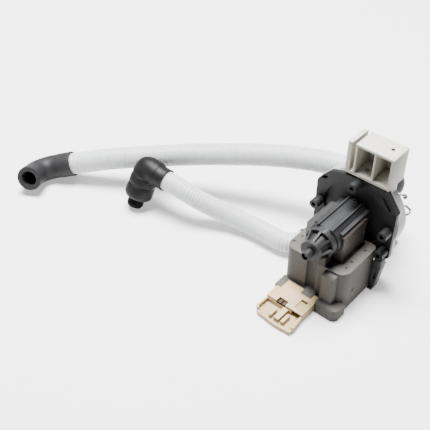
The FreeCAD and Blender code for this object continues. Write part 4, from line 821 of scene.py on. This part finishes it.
rubber_ring("housing_seal", "plate_seal", [
    (0.0470, 0.02525), (0.0470, 0.02645), (0.0480, 0.02645), (0.04815, 0.0262), (0.04815, 0.0255),
    (0.0480, 0.02525)])

# Rotor
# A sintered ferrite magnet on its plastic hub, a ground steel shaft, and the small pieces of
# natural plastic on it.

ferrite = grained_finish("magnet_ferrite", (0.035, 0.035, 0.038), 0.55, 1400.0, 0.00005)
ground_steel = grained_finish("shaft_steel", (0.6, 0.6, 0.62), 0.22, 1200.0, 0.00002, metal=1.0)
natural_plastic = grained_finish("washer_plastic", (0.62, 0.60, 0.54), 0.45, 1800.0, 0.00004)
coat(["rotor_magnet"], ferrite)
coat(["shaft"], ground_steel)
coat(["rotor_hub", "thrust_washer", "drive_dog", "impeller_cap"], natural_plastic)

# Impeller
# Six straight vanes on a thin disc, moulded in dark plastic.

impeller_plastic = grained_finish("impeller_plastic", (0.05, 0.05, 0.054), 0.42, 1800.0, 0.00005)
coat(["impeller"], impeller_plastic)

# Pump housing
# A cool white moulding that closes the plate from behind, with a skirt round its chamber.

# Painted shade darkens the faces that look to the front and right.
housing_plastic = grained_finish("housing_plastic", (0.26, 0.27, 0.27), 0.42, 1700.0, 0.00005, side_shade=0.3)
rounded_skin("pump_housing", housing_plastic, 0.0003)

# Housing screws
# Four zinc plated screws with pan heads, cross recesses and coarse threads, drawn as rings. One is
# drawn and set in the four pillars.


def spread_tree():
    """One copy of an object at each point."""
    tree = bpy.data.node_groups.new("copies_at_points", "GeometryNodeTree")
    given = inputs_of(tree, {"Places": "Geometry", "Shape": "Object", "Finish": "Material"})
    shape = step(tree, "GeometryNodeObjectInfo", Object=given["Shape"]).outputs["Geometry"]
    copies = step(tree, "GeometryNodeInstanceOnPoints", Points=given["Places"], Instance=shape)
    coated_output(tree, "Copies", copies.outputs["Instances"], given["Finish"])
    return tree


head_seat = 0.055
screw_places = [(0.0, 0.0285), (-0.0296, -0.0025), (0.0293, -0.0006), (0.0293, -0.0192)]
thread_pitch = 0.0013
thread_rings = 13
screw_sides = 32
screw_outline = [
    (0.0024, 0.0), (0.0024, 0.0018), (0.0020, 0.0027), (0.0012, 0.0032), (0.0, 0.0032), (0.0, 0.0015)]
for number in range(thread_rings):
    screw_outline += [(-number * thread_pitch - 0.0004, 0.0012), (-number * thread_pitch - 0.0009, 0.00155)]
screw_outline += [(-0.0175, 0.0009), (-0.0180, 0.0)]
screw_shape = bmesh.new()
screw_rings = []
for station, radius in screw_outline:
    turns = [math.tau * number / screw_sides for number in range(screw_sides)] if radius else [0.0]
    screw_rings.append([
        screw_shape.verts.new((radius * math.cos(turn), station, radius * math.sin(turn))) for turn in turns])
for ring, after in zip(screw_rings, screw_rings[1:]):
    for number in range(screw_sides):
        beyond = (number + 1) % screw_sides
        corners = [ring[number % len(ring)], ring[beyond % len(ring)],
                   after[beyond % len(after)], after[number % len(after)]]
        screw_shape.faces.new(list(dict.fromkeys(corners)))
screw = placed("screw", facing_out(mesh_of("screw", screw_shape)))
cross_shape = bmesh.new()
cross_place = Matrix.Translation((0.0, 0.0022, 0.0))
cross_long, cross_thick, cross_deep = 0.0034, 0.0008, 0.0024
for across, along in ((cross_long, cross_thick), (cross_thick, cross_long)):
    bmesh.ops.create_cube(
        cross_shape, size=1.0, matrix=cross_place @ Matrix.Diagonal((across, cross_deep, along, 1.0)))
cross = placed("cross", mesh_of("cross", cross_shape))
recess = screw.modifiers.new("recess", "BOOLEAN")
recess.operation = "DIFFERENCE"
recess.object = cross
recess.use_self = True
points_mesh = bpy.data.meshes.new("screw_points")
points_mesh.from_pydata([(x, head_seat, pump_axis + z) for x, z in screw_places], [], [])
screw_steel = grained_finish("screw_steel", (0.52, 0.52, 0.53), 0.3, 1200.0, 0.00003, metal=1.0)
screws = placed("four_screws", made_with(spread_tree(), placed("screw_holder", points_mesh), {
    "Shape": screw, "Finish": screw_steel}), screw_steel)
facing_out(screws.data)
bpy.data.objects.remove(screw)
bpy.data.objects.remove(cross)
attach(screws, "pump")
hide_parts("housing_screws")

# Mounting bracket
# An ivory box of two rooms that are open to the front, with a screw hole in its top and a fin at
# its left.

# Painted shade darkens the faces that look to the front and right, and a little the recesses.
bracket_plastic = grained_finish(
    "bracket_plastic", (0.48, 0.46, 0.40), 0.5, 1700.0, 0.00005, side_shade=1.0, recess_shade=0.15)
rounded_skin("mounting_bracket", bracket_plastic, 0.0003)

# Coil clip
# A dark plastic leaf that hangs from the plate and hooks the side of the block.

clip_plastic = grained_finish("clip_plastic", (0.016, 0.015, 0.015), 0.48, 1800.0, 0.00005, shine=0.3)
rounded_skin("coil_clip", clip_plastic, 0.0003)

# Connector
# Cream plastic with three bars in its tray, and two terminals in the notch, coloured dark brown as
# painted shade.

# Painted shade darkens the faces that look to the front and right.
connector_plastic = grained_finish("connector_plastic", (0.41, 0.296, 0.145), 0.5, 1700.0, 0.00005, side_shade=0.4)
# Painted shade: the terminals are coloured dark brown to stand for the shade in the notch.
terminal_brass = grained_finish("terminal_brass", (0.05, 0.030, 0.016), 0.4, 1200.0, 0.00003, metal=0.6)
rounded_skin("connector_housing", connector_plastic, 0.0003)
coat(["terminal_left", "terminal_right"], terminal_brass)
